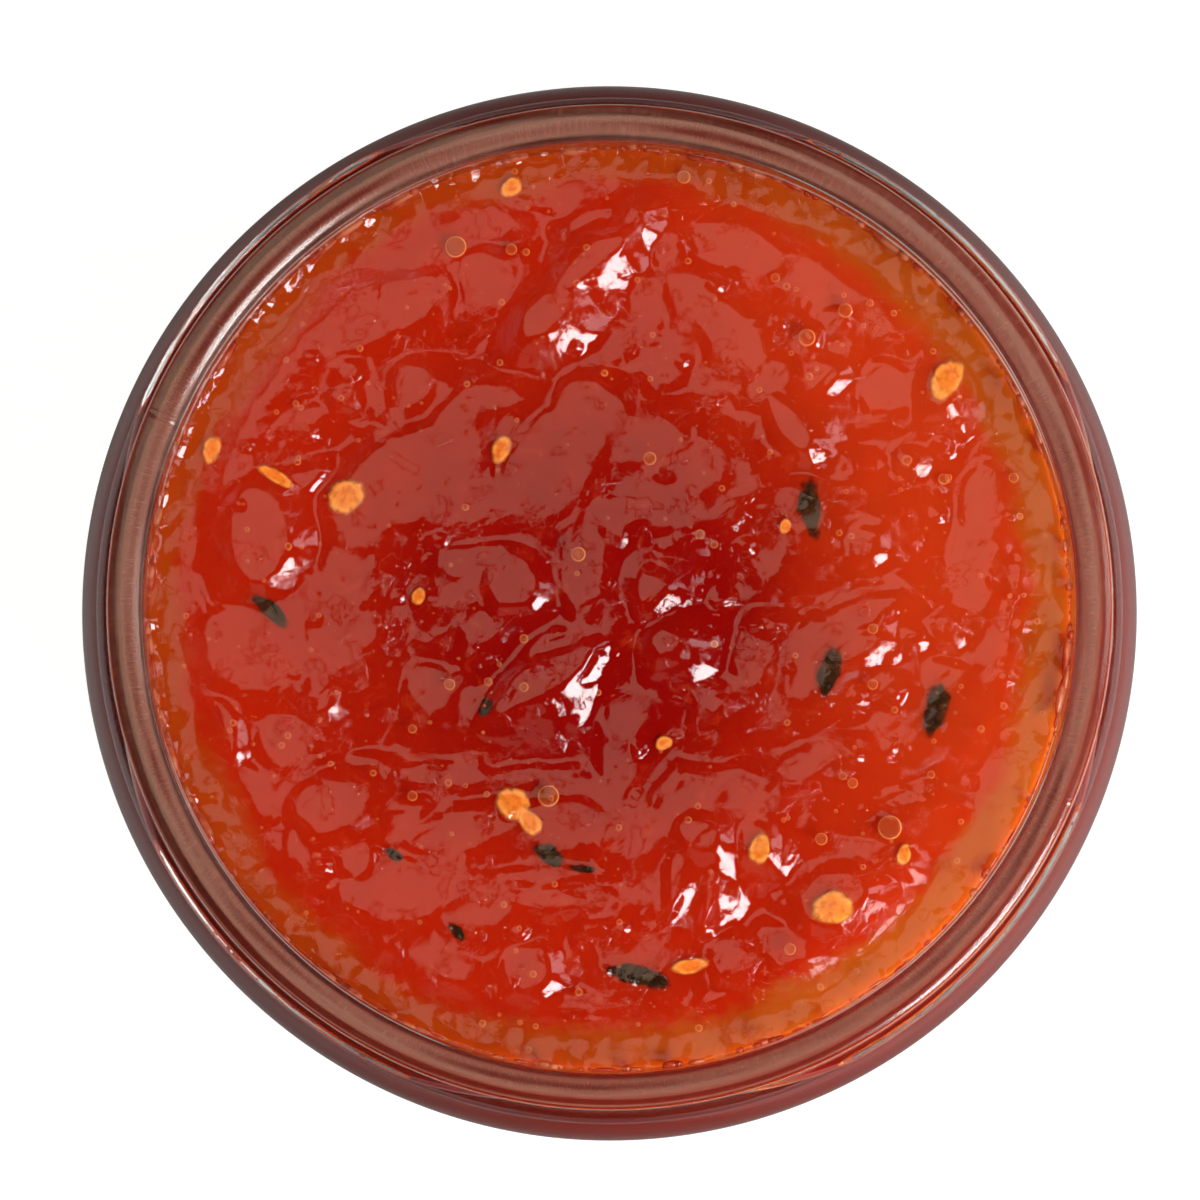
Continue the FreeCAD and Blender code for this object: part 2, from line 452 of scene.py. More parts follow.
def round_ball(detail: int, radius: float) -> bpy.types.Object:
    """A new ball of even triangles at the origin.

    Args:
        detail: how often its triangles are split.
        radius: its radius in metres.

    Returns:
        The new object.
    """
    deselect()
    bpy.ops.mesh.primitive_ico_sphere_add(subdivisions=detail, radius=radius)
    return bpy.context.object


def turned_piece(profile: Sequence[Point], segments: int) -> bpy.types.Object:
    """A round body raised ring by ring from a circle on the axis and closed at both poles.

    Args:
        profile: radius and height of each ring, from the lower pole's ring on.
        segments: how many sides each ring has.

    Returns:
        The new object.
    """
    deselect()
    radius, height = profile[0]
    foot = (0, 0, height)
    bpy.ops.mesh.primitive_circle_add(vertices=segments, radius=radius, fill_type="TRIFAN", location=foot)
    piece = bpy.context.object
    bpy.ops.object.transform_apply(location=True, rotation=False, scale=False)
    bpy.ops.object.mode_set(mode="EDIT")
    bpy.ops.mesh.select_mode(type="EDGE")
    bpy.ops.mesh.select_all(action="SELECT")
    bpy.ops.mesh.region_to_loop()
    for next_radius, next_height in profile[1:]:
        bpy.ops.mesh.extrude_edges_move(TRANSFORM_OT_translate={"value": (0, 0, next_height - height)})
        scale = next_radius / radius
        bpy.ops.transform.resize(value=(scale, scale, 1), center_override=(0, 0, next_height))
        radius, height = next_radius, next_height
    bpy.ops.mesh.extrude_edges_move(TRANSFORM_OT_translate={"value": (0, 0, 0)})
    bpy.ops.mesh.merge(type="CENTER")
    bpy.ops.object.mode_set(mode="OBJECT")
    return piece


# ------------------------------------------------------------
# The jam's uneven surface
# ------------------------------------------------------------


def lattice(ix: np.ndarray, iy: np.ndarray, seed: int) -> np.ndarray:
    """A fixed random number from 0 to 1 for each lattice point.

    Args:
        ix: whole x of each point.
        iy: whole y of each point.
        seed: which set of numbers.

    Returns:
        One number for each point.
    """
    mask = 0xFFFFFFFF
    value = (ix.astype(np.int64) & mask) * 374761393 + (iy.astype(np.int64) & mask) * 668265263
    value = (value + seed * 974634777) & mask
    value = ((value ^ (value >> 13)) * 1274126177) & mask
    return (value ^ (value >> 16)) / 4294967296.0


def swell(x: np.ndarray, y: np.ndarray, seed: int) -> np.ndarray:
    """Smooth gradient noise of feature size 1, from about -1 to 1.

    Args:
        x: x of each place.
        y: y of each place.
        seed: which noise.

    Returns:
        The noise at each place.
    """
    ix, iy = np.floor(x), np.floor(y)
    fx, fy = x - ix, y - iy
    across = fx * fx * fx * (fx * (fx * 6 - 15) + 10)
    up = fy * fy * fy * (fy * (fy * 6 - 15) + 10)

    def corner(dx: int, dy: int) -> np.ndarray:
        """Pull of one lattice corner."""
        angle = lattice(ix + dx, iy + dy, seed) * 2 * math.pi
        return np.cos(angle) * (fx - dx) + np.sin(angle) * (fy - dy)

    low = corner(0, 0) * (1 - across) + corner(1, 0) * across
    high = corner(0, 1) * (1 - across) + corner(1, 1) * across
    return (low * (1 - up) + high * up) * 1.5


def ease(low: float, high: float, value: np.ndarray) -> np.ndarray:
    """A smooth step from 0 at low to 1 at high."""
    share = np.clip((value - low) / (high - low), 0, 1)
    return share * share * (3 - 2 * share)


@dataclass(frozen=True)
class Lump:
    """A piece of tomato under the jelly: a flat oval top whose sides fall away. Millimetres and degrees."""

    x: float
    y: float
    length: float
    width: float
    turn: float
    height: float
    fall: float = 0.20

    def offset(self, x: np.ndarray, y: np.ndarray) -> tuple[np.ndarray, np.ndarray, np.ndarray, np.ndarray]:
        """Where places lie from the lump.

        Args:
            x: x of each place.
            y: y of each place.

        Returns:
            The offsets in x and y, the distance, and the distance as a share of the oval's size.
        """
        turn = math.radians(self.turn)
        dx, dy = x - self.x, y - self.y
        along = (dx * math.cos(turn) + dy * math.sin(turn)) / self.length
        across = (dy * math.cos(turn) - dx * math.sin(turn)) / self.width
        share = np.sqrt(along * along + across * across) + TINY
        return dx, dy, np.hypot(dx, dy) + TINY, share


LUMPS: tuple[Lump, ...] = (
    # upper-left band along the wall
    Lump(-26.7, 11.6, 4.8, 1.5, 88, 1.4), Lump(-24.6, 17.2, 3.4, 1.7, 55, 1.4),
    Lump(-19.8, 20.0, 4.4, 1.9, 14, 1.4), Lump(-14.8, 21.2, 3.2, 1.3, 26, 1.4),
    Lump(-21.6, 13.2, 1.3, 0.5, 20, 1.2),
    # oval chunk beside it
    Lump(-24.6, 5.2, 2.9, 1.8, 86, 2.2, 0.46), Lump(-27.4, 4.6, 3.6, 0.7, 95, 1.2),
    Lump(-21.8, 8.8, 1.4, 0.5, 25, 1.5, 0.40),
    # left plateau
    Lump(-24.0, -2.6, 4.6, 2.5, -4, 1.5), Lump(-18.8, -1.6, 1.9, 2.4, 0, 1.6),
    Lump(-29.4, -2.4, 1.2, 3.6, 4, 1.2), Lump(-18.0, 3.0, 3.4, 1.5, 78, 1.6),
    Lump(-21.4, 0.6, 1.6, 1.6, 0, 1.5), Lump(-17.0, -5.0, 1.5, 0.6, 20, 1.3),
    Lump(-12.6, -5.6, 1.3, 1.2, -30, 1.4), Lump(-9.4, -6.8, 0.8, 0.7, 0, 1.3),
    # shelf above the middle, left
    Lump(-13.4, 9.4, 4.2, 2.5, 24, 1.9), Lump(-17.2, 6.8, 1.8, 1.9, 40, 1.8),
    Lump(-10.6, 7.4, 2.4, 1.2, 14, 1.9),
    # hook
    Lump(-10.8, 13.2, 2.0, 0.8, 44, 1.9), Lump(-8.4, 14.7, 1.7, 0.7, -2, 1.9),
    Lump(-6.9, 12.4, 0.5, 0.8, 10, 1.7, 0.40),
    # shelf above the middle, centre
    Lump(-6.8, 7.8, 2.0, 1.1, 30, 1.9), Lump(-3.8, 10.4, 3.8, 2.2, 56, 2.0),
    Lump(-1.4, 13.8, 1.9, 1.6, 0, 2.0), Lump(-4.4, 7.0, 1.6, 1.3, 0, 1.9),
    Lump(1.8, 12.0, 3.0, 1.3, -4, 2.0), Lump(5.0, 10.4, 2.6, 1.7, -20, 2.0),
    Lump(4.0, 7.6, 2.8, 1.5, -6, 1.9), Lump(8.4, 9.4, 2.0, 1.0, -30, 1.9),
    Lump(0.2, 6.6, 1.5, 0.9, 0, 1.9),
    # stem below it
    Lump(-1.8, 3.4, 3.2, 1.1, 92, 1.9), Lump(-1.2, -0.8, 1.6, 1.0, 80, 1.8),
    # tail at its right
    Lump(11.6, 7.6, 1.9, 0.8, -4, 1.8), Lump(13.8, 6.6, 1.2, 1.0, -40, 1.8),
    Lump(16.2, 8.1, 1.5, 0.3, 2, 1.4), Lump(16.4, 9.8, 0.5, 0.9, 10, 1.3),
    Lump(11.8, 11.2, 1.6, 0.7, -20, 1.5),
    # lobe in the middle left
    Lump(-8.8, 3.0, 2.8, 1.1, -4, 1.9), Lump(-6.6, 1.9, 1.4, 1.5, 10, 2.2, 0.42),
    Lump(-10.8, 1.2, 1.7, 1.0, 20, 1.8), Lump(-9.0, -0.9, 1.3, 1.1, 0, 1.7),
    Lump(-15.8, -0.8, 0.7, 0.4, 0, 1.3), Lump(-12.2, -1.8, 1.2, 0.3, 16, 1.4, 0.36),
    Lump(-3.8, -2.8, 1.7, 0.9, 34, 1.9),
    # tongue whose foot runs round below the lobe
    Lump(-4.6, -5.0, 3.4, 0.9, 34, 2.35, 0.43), Lump(-1.5, -3.4, 1.2, 0.5, 60, 1.7, 0.5),
    # patches beyond the tongue's foot
    Lump(1.5, -4.2, 1.8, 1.5, 0, 1.3), Lump(0.8, -7.4, 1.2, 1.8, 0, 1.3),
    Lump(0.7, -11.0, 0.9, 2.2, -8, 1.3), Lump(3.8, -5.6, 1.2, 0.6, 34, 1.4),
    # bands below the tongue
    Lump(-11.4, -11.7, 2.8, 0.6, -4, 1.1), Lump(-6.2, -11.7, 2.9, 0.4, 6, 1.1),
    Lump(-2.4, -12.9, 1.8, 0.8, -6, 1.2), Lump(-16.2, -11.3, 1.4, 0.5, -20, 1.1),
    Lump(-15.2, -15.2, 1.6, 0.9, 38, 1.4), Lump(-10.4, -15.6, 3.4, 1.0, 10, 1.5),
    Lump(-3.6, -15.2, 3.6, 1.3, -2, 1.5), Lump(1.4, -15.6, 2.4, 1.4, 12, 1.6),
    # arch right of the middle
    Lump(5.0, -13.8, 2.3, 1.5, 34, 1.7), Lump(9.0, -13.0, 2.4, 1.4, -12, 1.7),
    Lump(12.2, -13.6, 1.8, 1.5, -34, 1.5), Lump(13.8, -11.0, 2.4, 0.7, 22, 1.5),
    Lump(16.4, -9.9, 1.2, 0.6, -10, 1.4), Lump(13.2, -15.8, 1.4, 0.7, -20, 1.4),
    Lump(16.4, -16.8, 2.0, 0.9, -8, 1.4), Lump(20.4, -13.3, 1.4, 0.5, -8, 1.1),
    # round lump, lower left
    Lump(-19.4, -13.8, 2.1, 1.3, 4, 1.8, 0.25), Lump(-21.6, -17.2, 3.2, 0.9, 84, 1.5),
    Lump(-17.8, -16.6, 0.9, 1.6, 0, 1.6, 0.42),
    # left, low
    Lump(-22.4, -9.6, 1.9, 1.3, -34, 1.3), Lump(-27.4, -8.8, 1.0, 2.0, 4, 1.6, 0.45),
    Lump(-24.8, -14.0, 1.6, 2.2, 0, 1.3), Lump(-20.2, -5.6, 0.6, 1.2, 4, 1.7, 0.45),
    # lower-left plateau
    Lump(-14.4, -19.6, 4.2, 1.6, 4, 1.6), Lump(-17.6, -22.2, 2.1, 1.6, -45, 1.4),
    Lump(-12.4, -24.2, 2.6, 1.1, -38, 1.4), Lump(-9.6, -20.6, 2.2, 1.6, 0, 1.6),
    Lump(-9.2, -23.8, 1.4, 0.8, 0, 1.4),
    # torn edges along the bottom
    Lump(-4.8, -18.7, 2.4, 0.4, 0, 1.6), Lump(-4.4, -20.4, 3.0, 0.5, -8, 1.6, 0.38),
    Lump(-0.6, -20.8, 1.2, 0.8, 0, 1.6), Lump(-5.8, -25.2, 1.3, 1.2, -30, 1.6, 0.42),
    Lump(-8.4, -27.4, 3.4, 0.9, -12, 1.2), Lump(-1.6, -28.0, 3.2, 0.9, 0, 1.2),
    Lump(1.6, -24.0, 2.3, 1.7, 0, 1.4), Lump(3.2, -27.4, 2.6, 0.9, -10, 1.2),
    Lump(3.0, -19.0, 0.9, 1.8, 20, 1.5), Lump(9.4, -27.4, 2.8, 0.7, 14, 1.1),
    Lump(8.8, -24.4, 1.2, 1.1, 0, 1.4, 0.40), Lump(12.2, -23.6, 1.5, 1.0, -20, 1.5),
    Lump(13.0, -25.4, 1.4, 0.6, -20, 1.4, 0.42), Lump(6.2, -15.7, 1.2, 0.8, -30, 2.3, 0.43),
    Lump(4.8, -18.6, 0.4, 1.8, -12, 1.95, 0.45), Lump(7.0, -19.2, 0.3, 1.8, -8, 1.85, 0.45),
    Lump(10.2, -16.2, 0.7, 0.8, 0, 2.0, 0.42), Lump(15.6, -20.2, 2.0, 1.3, 20, 2.1, 0.42),
    Lump(19.6, -17.4, 1.3, 0.6, -30, 1.4, 0.40),
    # upper right
    Lump(9.0, 25.2, 2.8, 1.6, -20, 1.3), Lump(14.2, 24.0, 3.8, 1.8, -22, 1.3),
    Lump(18.8, 21.2, 2.8, 1.5, -40, 1.3), Lump(6.0, 21.6, 1.9, 1.2, -44, 1.8),
    Lump(8.4, 19.2, 2.6, 1.4, -46, 1.9), Lump(10.8, 16.4, 2.0, 0.9, -54, 1.9),
    Lump(12.6, 13.0, 1.9, 0.7, -60, 2.15, 0.44), Lump(12.8, 18.4, 0.9, 1.0, 0, 1.6),
    Lump(11.9, 16.4, 0.6, 0.7, 0, 1.9, 0.44), Lump(16.2, 18.4, 0.6, 1.6, 0, 1.4),
    Lump(14.8, 16.4, 0.9, 0.8, 30, 1.7, 0.44), Lump(15.7, 20.1, 0.8, 0.6, 30, 1.5, 0.44),
    Lump(3.2, 17.4, 1.7, 1.4, -20, 1.5), Lump(0.2, 18.6, 1.3, 0.9, 30, 1.4),
    Lump(-1.8, 16.6, 1.1, 0.8, 0, 1.4), Lump(3.0, 21.6, 1.2, 1.8, -30, 1.5),
    Lump(19.4, 15.4, 1.5, 1.3, -40, 1.3), Lump(23.3, 15.7, 0.9, 1.2, -10, 2.1, 0.42),
    Lump(22.2, 13.4, 0.8, 0.6, 40, 1.2), Lump(26.2, 12.2, 0.7, 0.7, 0, 1.0),
    # top left
    Lump(-13.6, 26.0, 3.0, 1.8, 16, 1.1), Lump(-9.4, 27.0, 2.2, 1.1, 0, 1.1),
    Lump(-8.6, 23.2, 1.6, 1.3, -40, 1.4), Lump(-6.0, 20.6, 1.1, 1.6, -20, 1.4),
    Lump(-18.4, 16.6, 0.6, 0.5, 0, 1.5, 0.42), Lump(-18.7, 14.8, 0.6, 0.4, 0, 1.5, 0.42),
    Lump(-16.4, 15.2, 0.3, 2.0, 6, 1.2), Lump(-13.8, 15.6, 1.0, 1.3, -24, 1.6, 0.36),
    Lump(-12.0, 15.4, 0.5, 0.6, 0, 1.5, 0.42), Lump(-14.9, 13.2, 0.5, 0.6, 0, 1.5, 0.42),
    Lump(-16.0, 12.0, 0.5, 0.4, 0, 1.5, 0.42),
    # ridge with its long wet flank
    Lump(-4.4, 20.6, 1.8, 0.8, 44, 2.6, 0.42), Lump(-1.4, 24.2, 2.6, 0.6, 40, 2.55, 0.44),
    Lump(1.6, 27.2, 1.5, 0.5, 62, 2.1, 0.46),
    # top
    Lump(-2.6, 29.3, 4.4, 1.0, 0, 1.1), Lump(-0.8, 27.0, 2.0, 0.8, 14, 1.4),
    Lump(4.2, 28.6, 0.9, 0.6, 30, 1.6, 0.42), Lump(4.2, 25.2, 0.7, 0.8, 0, 1.5, 0.42),
    # right strip
    Lump(26.4, 7.6, 2.1, 1.3, 80, 1.1), Lump(25.6, 3.2, 3.2, 1.2, 88, 1.1),
    Lump(26.4, -1.4, 3.2, 1.5, 92, 1.1), Lump(29.0, 2.2, 0.5, 0.6, 0, 1.3, 0.44),
    # right middle
    Lump(14.0, -3.6, 1.3, 2.3, -18, 1.6), Lump(16.8, -1.2, 2.8, 1.0, 26, 1.6),
    Lump(17.4, -2.6, 1.8, 0.7, 22, 1.8, 0.40), Lump(19.2, -5.2, 1.2, 0.5, -10, 1.4),
    Lump(21.0, -1.9, 0.6, 0.4, 0, 1.5, 0.42), Lump(23.6, -1.2, 0.6, 0.6, 0, 1.5, 0.42),
    Lump(23.4, -5.2, 1.0, 1.0, 0, 1.3), Lump(20.0, -8.5, 1.3, 0.7, -22, 1.2),
    Lump(17.8, 1.0, 2.4, 0.8, 14, 1.3), Lump(20.4, 1.4, 1.0, 0.6, 0, 1.3),
    Lump(10.2, -3.2, 0.9, 2.0, -12, 1.5), Lump(10.6, -1.2, 0.8, 0.4, 0, 1.6, 0.42),
    Lump(7.0, -6.2, 0.9, 0.6, -20, 1.6), Lump(7.5, -6.9, 0.5, 0.5, 0, 1.7, 0.44),
    Lump(7.2, -8.2, 1.0, 0.9, 0, 1.4),
    # small domes in the middle
    Lump(3.0, 2.0, 1.5, 1.1, 10, 1.8, 0.30), Lump(3.2, 1.4, 0.7, 0.6, 0, 1.9, 0.46),
    Lump(4.2, -1.6, 1.0, 0.5, 10, 1.8), Lump(4.1, -2.4, 0.9, 0.7, 20, 2.4, 0.43),
    Lump(2.9, 1.3, 0.8, 0.6, 20, 2.25, 0.43), Lump(8.2, 7.0, 0.7, 0.9, -20, 1.9, 0.44),
    Lump(17.4, 5.2, 1.5, 0.9, 40, 1.6), Lump(18.0, 4.6, 0.6, 0.8, -30, 1.8, 0.44),
    Lump(4.8, 4.7, 0.5, 0.3, 20, 1.8, 0.44), Lump(13.6, 4.6, 0.5, 0.6, 0, 1.6, 0.42),
    Lump(11.0, 3.8, 0.9, 1.3, 10, 1.4), Lump(21.0, 10.6, 0.5, 0.4, 0, 1.4, 0.42),
)

# smooth stretches of jelly where the small beads fade out; height is how calm they are
CALM: tuple[Lump, ...] = (
    Lump(-14, -8.2, 9, 2.2, 0, 1.0),
    Lump(-12, -4, 5, 2, 0, 0.5),
)


@dataclass(frozen=True)
class Beads:
    """Rounded beads scattered one to a cell, in millimetres; steep is a bead's height over its radius."""

    cell: float
    seed: int
    share: float
    small: float
    large: float
    steep: float

    def height(self, x: np.ndarray, y: np.ndarray) -> np.ndarray:
        """The beads' height at each place.

        Args:
            x: x of each place.
            y: y of each place.

        Returns:
            The height at each place.
        """
        total = np.zeros_like(x)
        ix, iy = np.floor(x / self.cell), np.floor(y / self.cell)
        for i in (-1, 0, 1):
            for j in (-1, 0, 1):
                random = [lattice(ix + i, iy + j, self.seed + 100 * k) for k in range(4)]
                dx = x - (ix + i + 0.15 + 0.7 * random[0]) * self.cell
                dy = y - (iy + j + 0.15 + 0.7 * random[1]) * self.cell
                radius = self.small + (self.large - self.small) * random[2] ** 2
                near = (dx**2 + (dy * (0.8 + 0.4 * random[0])) ** 2) / radius**2
                bump = np.maximum(0, 1 - near)
                bump = bump * bump * (3 - 2 * bump)
                total = np.maximum(total, np.where(random[3] < self.share, radius * self.steep * bump, 0))
        return total


@dataclass
class JamTop:
    """Height of the jam over the level at the wall, in millimetres, at any place."""

    bore: float
    fall_x: float = 0.70
    fall_y: float = -0.714
    steep: float = 0.7
    edge: float = 0.5
    keen_edge: float = 0.3
    sag: float = 0.5
    crown: float = 0.02
    lean: float = 0.02
    dome: float = 0.3
    dome_radius: float = 30.0
    keen_fall: float = 0.3
    spread: float = 1.10
    blend: float = 12.0
    wall_ease: float = 3.2
    skew: float = 0.5
    coarse: float = 0.05
    middling: float = 0.03
    ripple: float = 0.012
    relief_kept: float = 0.1
    wall_band: float = 1.3
    wander: tuple[Point, ...] = ((4.2, 0.3), (1.8, 0.16), (0.7, 0.05))
    meniscus: tuple[Point, ...] = ((0.36, 1.7), (0.30, 0.3))
    beads: tuple[Beads, ...] = (
        Beads(cell=2.7, seed=51, share=0.28, small=0.5, large=1.05, steep=0.30),
        Beads(cell=1.3, seed=52, share=0.22, small=0.22, large=0.45, steep=0.18),
    )

    def ground(self, x: Any, y: Any) -> Any:
        """Height of the level that the lumps stand on, at places or at one place."""
        return -self.dome * (x * x + y * y) / self.dome_radius**2

    def rise(self, lump: Lump, x: np.ndarray, y: np.ndarray) -> np.ndarray:
        """Height of one lump: nearly flat on top, steep on its upper side and long on its lower side.

        Args:
            lump: the lump.
            x: x of each place.
            y: y of each place.

        Returns:
            The height at each place.
        """
        dx, dy, far, share = lump.offset(x, y)
        along = dx * self.fall_x + dy * self.fall_y
        slope = lump.fall + (self.steep - lump.fall) * ease(-0.25, 0.55, -along / far)
        share = share / self.spread
        out = far * np.maximum(0, 1 - 1 / share)
        edge = self.keen_edge if lump.fall > self.keen_fall else self.edge
        soft = np.sqrt(out * out + edge**2) - edge
        top = lump.height + self.ground(lump.x, lump.y) + self.lean * along
        return top - slope * soft - self.crown * np.minimum(share, 1.5) ** 2

    def tops(self, x: np.ndarray, y: np.ndarray) -> np.ndarray:
        """1 on the calm tops of the lumps, falling to 0 beyond them.

        Args:
            x: x of each place.
            y: y of each place.

        Returns:
            How calm each place is.
        """
        calm = np.zeros_like(x)
        for lump in LUMPS:
            if lump.length * lump.width > 1:
                share = lump.offset(x, y)[3]
                calm = np.maximum(calm, 1 - ease(0.7, 1.1, share))
            if lump.fall > self.keen_fall:
                dx, dy, far, share = lump.offset(x, y)
                below = ease(0.0, 0.5, (dx * self.fall_x + dy * self.fall_y) / far)
                reach = far * (1 - 1 / np.maximum(share, 1))
                calm = np.maximum(calm, below * (1 - ease(0.6, 1.0, reach * lump.fall / 0.8)))
        for lump in CALM:
            share = lump.offset(x, y)[3]
            calm = np.maximum(calm, lump.height * (1 - ease(0.8, 1.2, share)))
        return calm

    def wandered(self, x: np.ndarray, y: np.ndarray) -> tuple[np.ndarray, np.ndarray]:
        """The same places shifted unevenly, which frays the lumps' outlines.

        Args:
            x: x of each place.
            y: y of each place.

        Returns:
            x and y of the shifted places.
        """
        shift_x, shift_y = 0.0, 0.0
        for step, (size, amount) in enumerate(self.wander):
            shift_x = shift_x + amount * swell(x / size, y / size, 11 + step)
            shift_y = shift_y + amount * swell(x / size, y / size, 21 + step)
        return x + shift_x, y + shift_y

    def calm(self, x: np.ndarray, y: np.ndarray) -> np.ndarray:
        """1 where the jelly lies smooth, 0 where it is torn and beaded."""
        return self.tops(*self.wandered(x, y))

    def skewed(self, x: np.ndarray, y: np.ndarray, size: float, seed: int) -> np.ndarray:
        """Noise whose waves lean the way the lumps fall."""
        lean = self.skew * size * swell(x / size, y / size, seed)
        return swell((x - self.fall_x * lean) / size, (y - self.fall_y * lean) / size, seed)

    def height(self, x: np.ndarray, y: np.ndarray, fine: float = 1.0) -> np.ndarray:
        """Height of the surface.

        Args:
            x: x of each place.
            y: y of each place.
            fine: how much of the fine relief to keep.

        Returns:
            The height at each place.
        """
        u, v = self.wandered(x, y)
        total = np.exp(self.blend * (self.ground(x, y) - 1))
        total = total + sum(np.exp(self.blend * (self.rise(lump, u, v) - 1)) for lump in LUMPS)
        level = np.log(total) / self.blend + 1
        if fine > 0:
            relief = self.coarse * self.skewed(x, y, 3.0, 31) + self.middling * self.skewed(x, y, 1.4, 32)
            relief = relief + self.ripple * swell(x / 0.6, y / 0.6, 33)
            for beads in self.beads:
                relief = relief + beads.height(u, v)
            level = level + fine * relief * (1 - (1 - self.relief_kept) * self.tops(u, v))
        out = np.hypot(x, y)
        level = (level - self.sag) * ease(0.0, self.wall_ease, self.bore - self.wall_band - out)
        climb = 0.7 + 0.4 * swell(x / 3, y / 3, 41) + 0.4 * swell(x / 1.1, y / 1.1, 42)
        gap = np.maximum(self.bore - out, 0)
        return level + climb * sum(rise * np.exp(-gap / reach) for rise, reach in self.meniscus)


# ------------------------------------------------------------
# Finishes
# ------------------------------------------------------------


@dataclass(frozen=True)
class ClearGlass:
    """Pressed soda-lime glass with a faint tint, its mould's seam, and a film round its top: a thin haze of
    jam with painted reflection, a painted highlight and painted shade.
    """

    level: float
    tint: Colour = (0.93, 0.95, 0.94)
    haze_and_reflection: Colour = (0.90, 0.40, 0.28)
    shade_band: Colour = (0.12, 0.005, 0.002)
    haze_and_reflection_share: float = 0.12
    ior: float = 1.5
    roughness: float = 0.04
    worn_roughness: float = 0.16
    seam_deg: float = 157.0
    seam_width: float = 0.35 * MM
    relief: float = 0.06 * MM
    shade_band_radius: float = 33.3 * MM
    shade_band_width: float = 0.75 * MM
    highlight_ring_radius: float = 34.6 * MM
    highlight_ring_width: float = 0.09 * MM
    highlight_ring_shift: Point = (0.10 * MM, -0.16 * MM)
    wall_inner: float = 32.3 * MM
    wall_outer: float = 32.6 * MM
    front_shade_reach: float = 30 * MM

    def crown(self, z: Sock) -> Sock:
        """1 on the rounded lip and 0 below it."""
        return z.step(self.level - 0.1 * MM, self.level)

    def film(self, shader: Shader, x: Sock, y: Sock, z: Sock) -> tuple[Sock, Sock]:
        """The film on the glass, part jam haze and part painted reflection: streaks round the lip, scratches
        across it, a painted highlight ring, a ring of painted shade, and painted shade that thins it at the
        front.

        Args:
            shader: the material being built.
            x: place along the first axis.
            y: place along the second axis.
            z: height.

        Returns:
            The film's colour and its share.
        """
        out = (x * x + y * y).power(0.5)
        ring = ((out - self.shade_band_radius) / self.shade_band_width).hump()
        # A thin bright ring near the lip's outer edge is a painted highlight: the lamps' reflection along the
        # rounded lip.
        side, up = x + self.highlight_ring_shift[0], y + self.highlight_ring_shift[1]
        wear_and_highlight = (((side * side + up * up).power(0.5) - self.highlight_ring_radius) / self.highlight_ring_width).hump()
        # Streaks and scratches set how much film lies on the lip: partly a thin haze of jam, partly painted
        # reflection of the lamps in the glass.
        streaks = shader.polar_noise(3.0, 0.6 * MM, 3.0).step(0.30, 0.62)
        scratches = shader.polar_noise(260.0, 1.2 * MM, 4.0).step(0.42, 0.70)
        crown = self.crown(z)
        wall = z.step(self.level - 8 * MM, self.level - 1 * MM)
        wall = wall * (1.0 - out.step(self.wall_inner, self.wall_outer))
        # The film is painted thinner towards the front of the rim: painted shade where that side looks dark.
        front_shade = 1.0 - (y * -1.0).step(0.0, self.front_shade_reach) * 0.8
        amount = (0.20 + streaks * 0.80) * (0.6 + scratches * 0.8) * front_shade + wear_and_highlight * streaks * 1.6
        # A dark red ring on the crown is painted shade: where the lip mirrors nothing and shows only dark
        # jam.
        shade_band_share = ring * (0.55 + shader.polar_noise(2.5, 0.9 * MM, 3.0).step(0.30, 0.66) * 0.42)
        share = amount * (crown + wall * 0.3).clamped() * (1.0 - shade_band_share) * self.haze_and_reflection_share
        share = share + shade_band_share * crown * (0.75 + scratches * 0.2)
        return shader.blend(shade_band_share, self.haze_and_reflection, self.shade_band), share

    def material(self) -> bpy.types.Material:
        """Builds the material.

        Returns:
            The material.
        """
        shader = Shader(bpy.data.materials.new("clear_glass"))
        x, y, z = shader.parts(shader.place())
        turn = math.radians(self.seam_deg)
        seam = ((x * math.sin(turn) - y * math.cos(turn)) / self.seam_width).hump()
        waves = shader.noise(20 * MM, 1.0)
        rings = shader.polar_noise(5.0, 0.7 * MM, 3.0)
        normal = shader.bump(seam + waves * 0.15 + rings * 0.5, self.relief)
        rough = self.crown(z) * (self.worn_roughness - self.roughness) + self.roughness
        look = {"Color": self.tint, "Roughness": rough, "IOR": self.ior, "Normal": normal}
        glass = shader.node("ShaderNodeBsdfGlass", {}, look)
        colour, share = self.film(shader, x, y, z)
        glass_with_film = shader.mix(share, glass, shader.node("ShaderNodeBsdfDiffuse", {}, {"Color": colour}))
        return shader.finish(shader.mix(shader.ray("Is Shadow Ray"), glass_with_film, shader.clear(self.tint)))


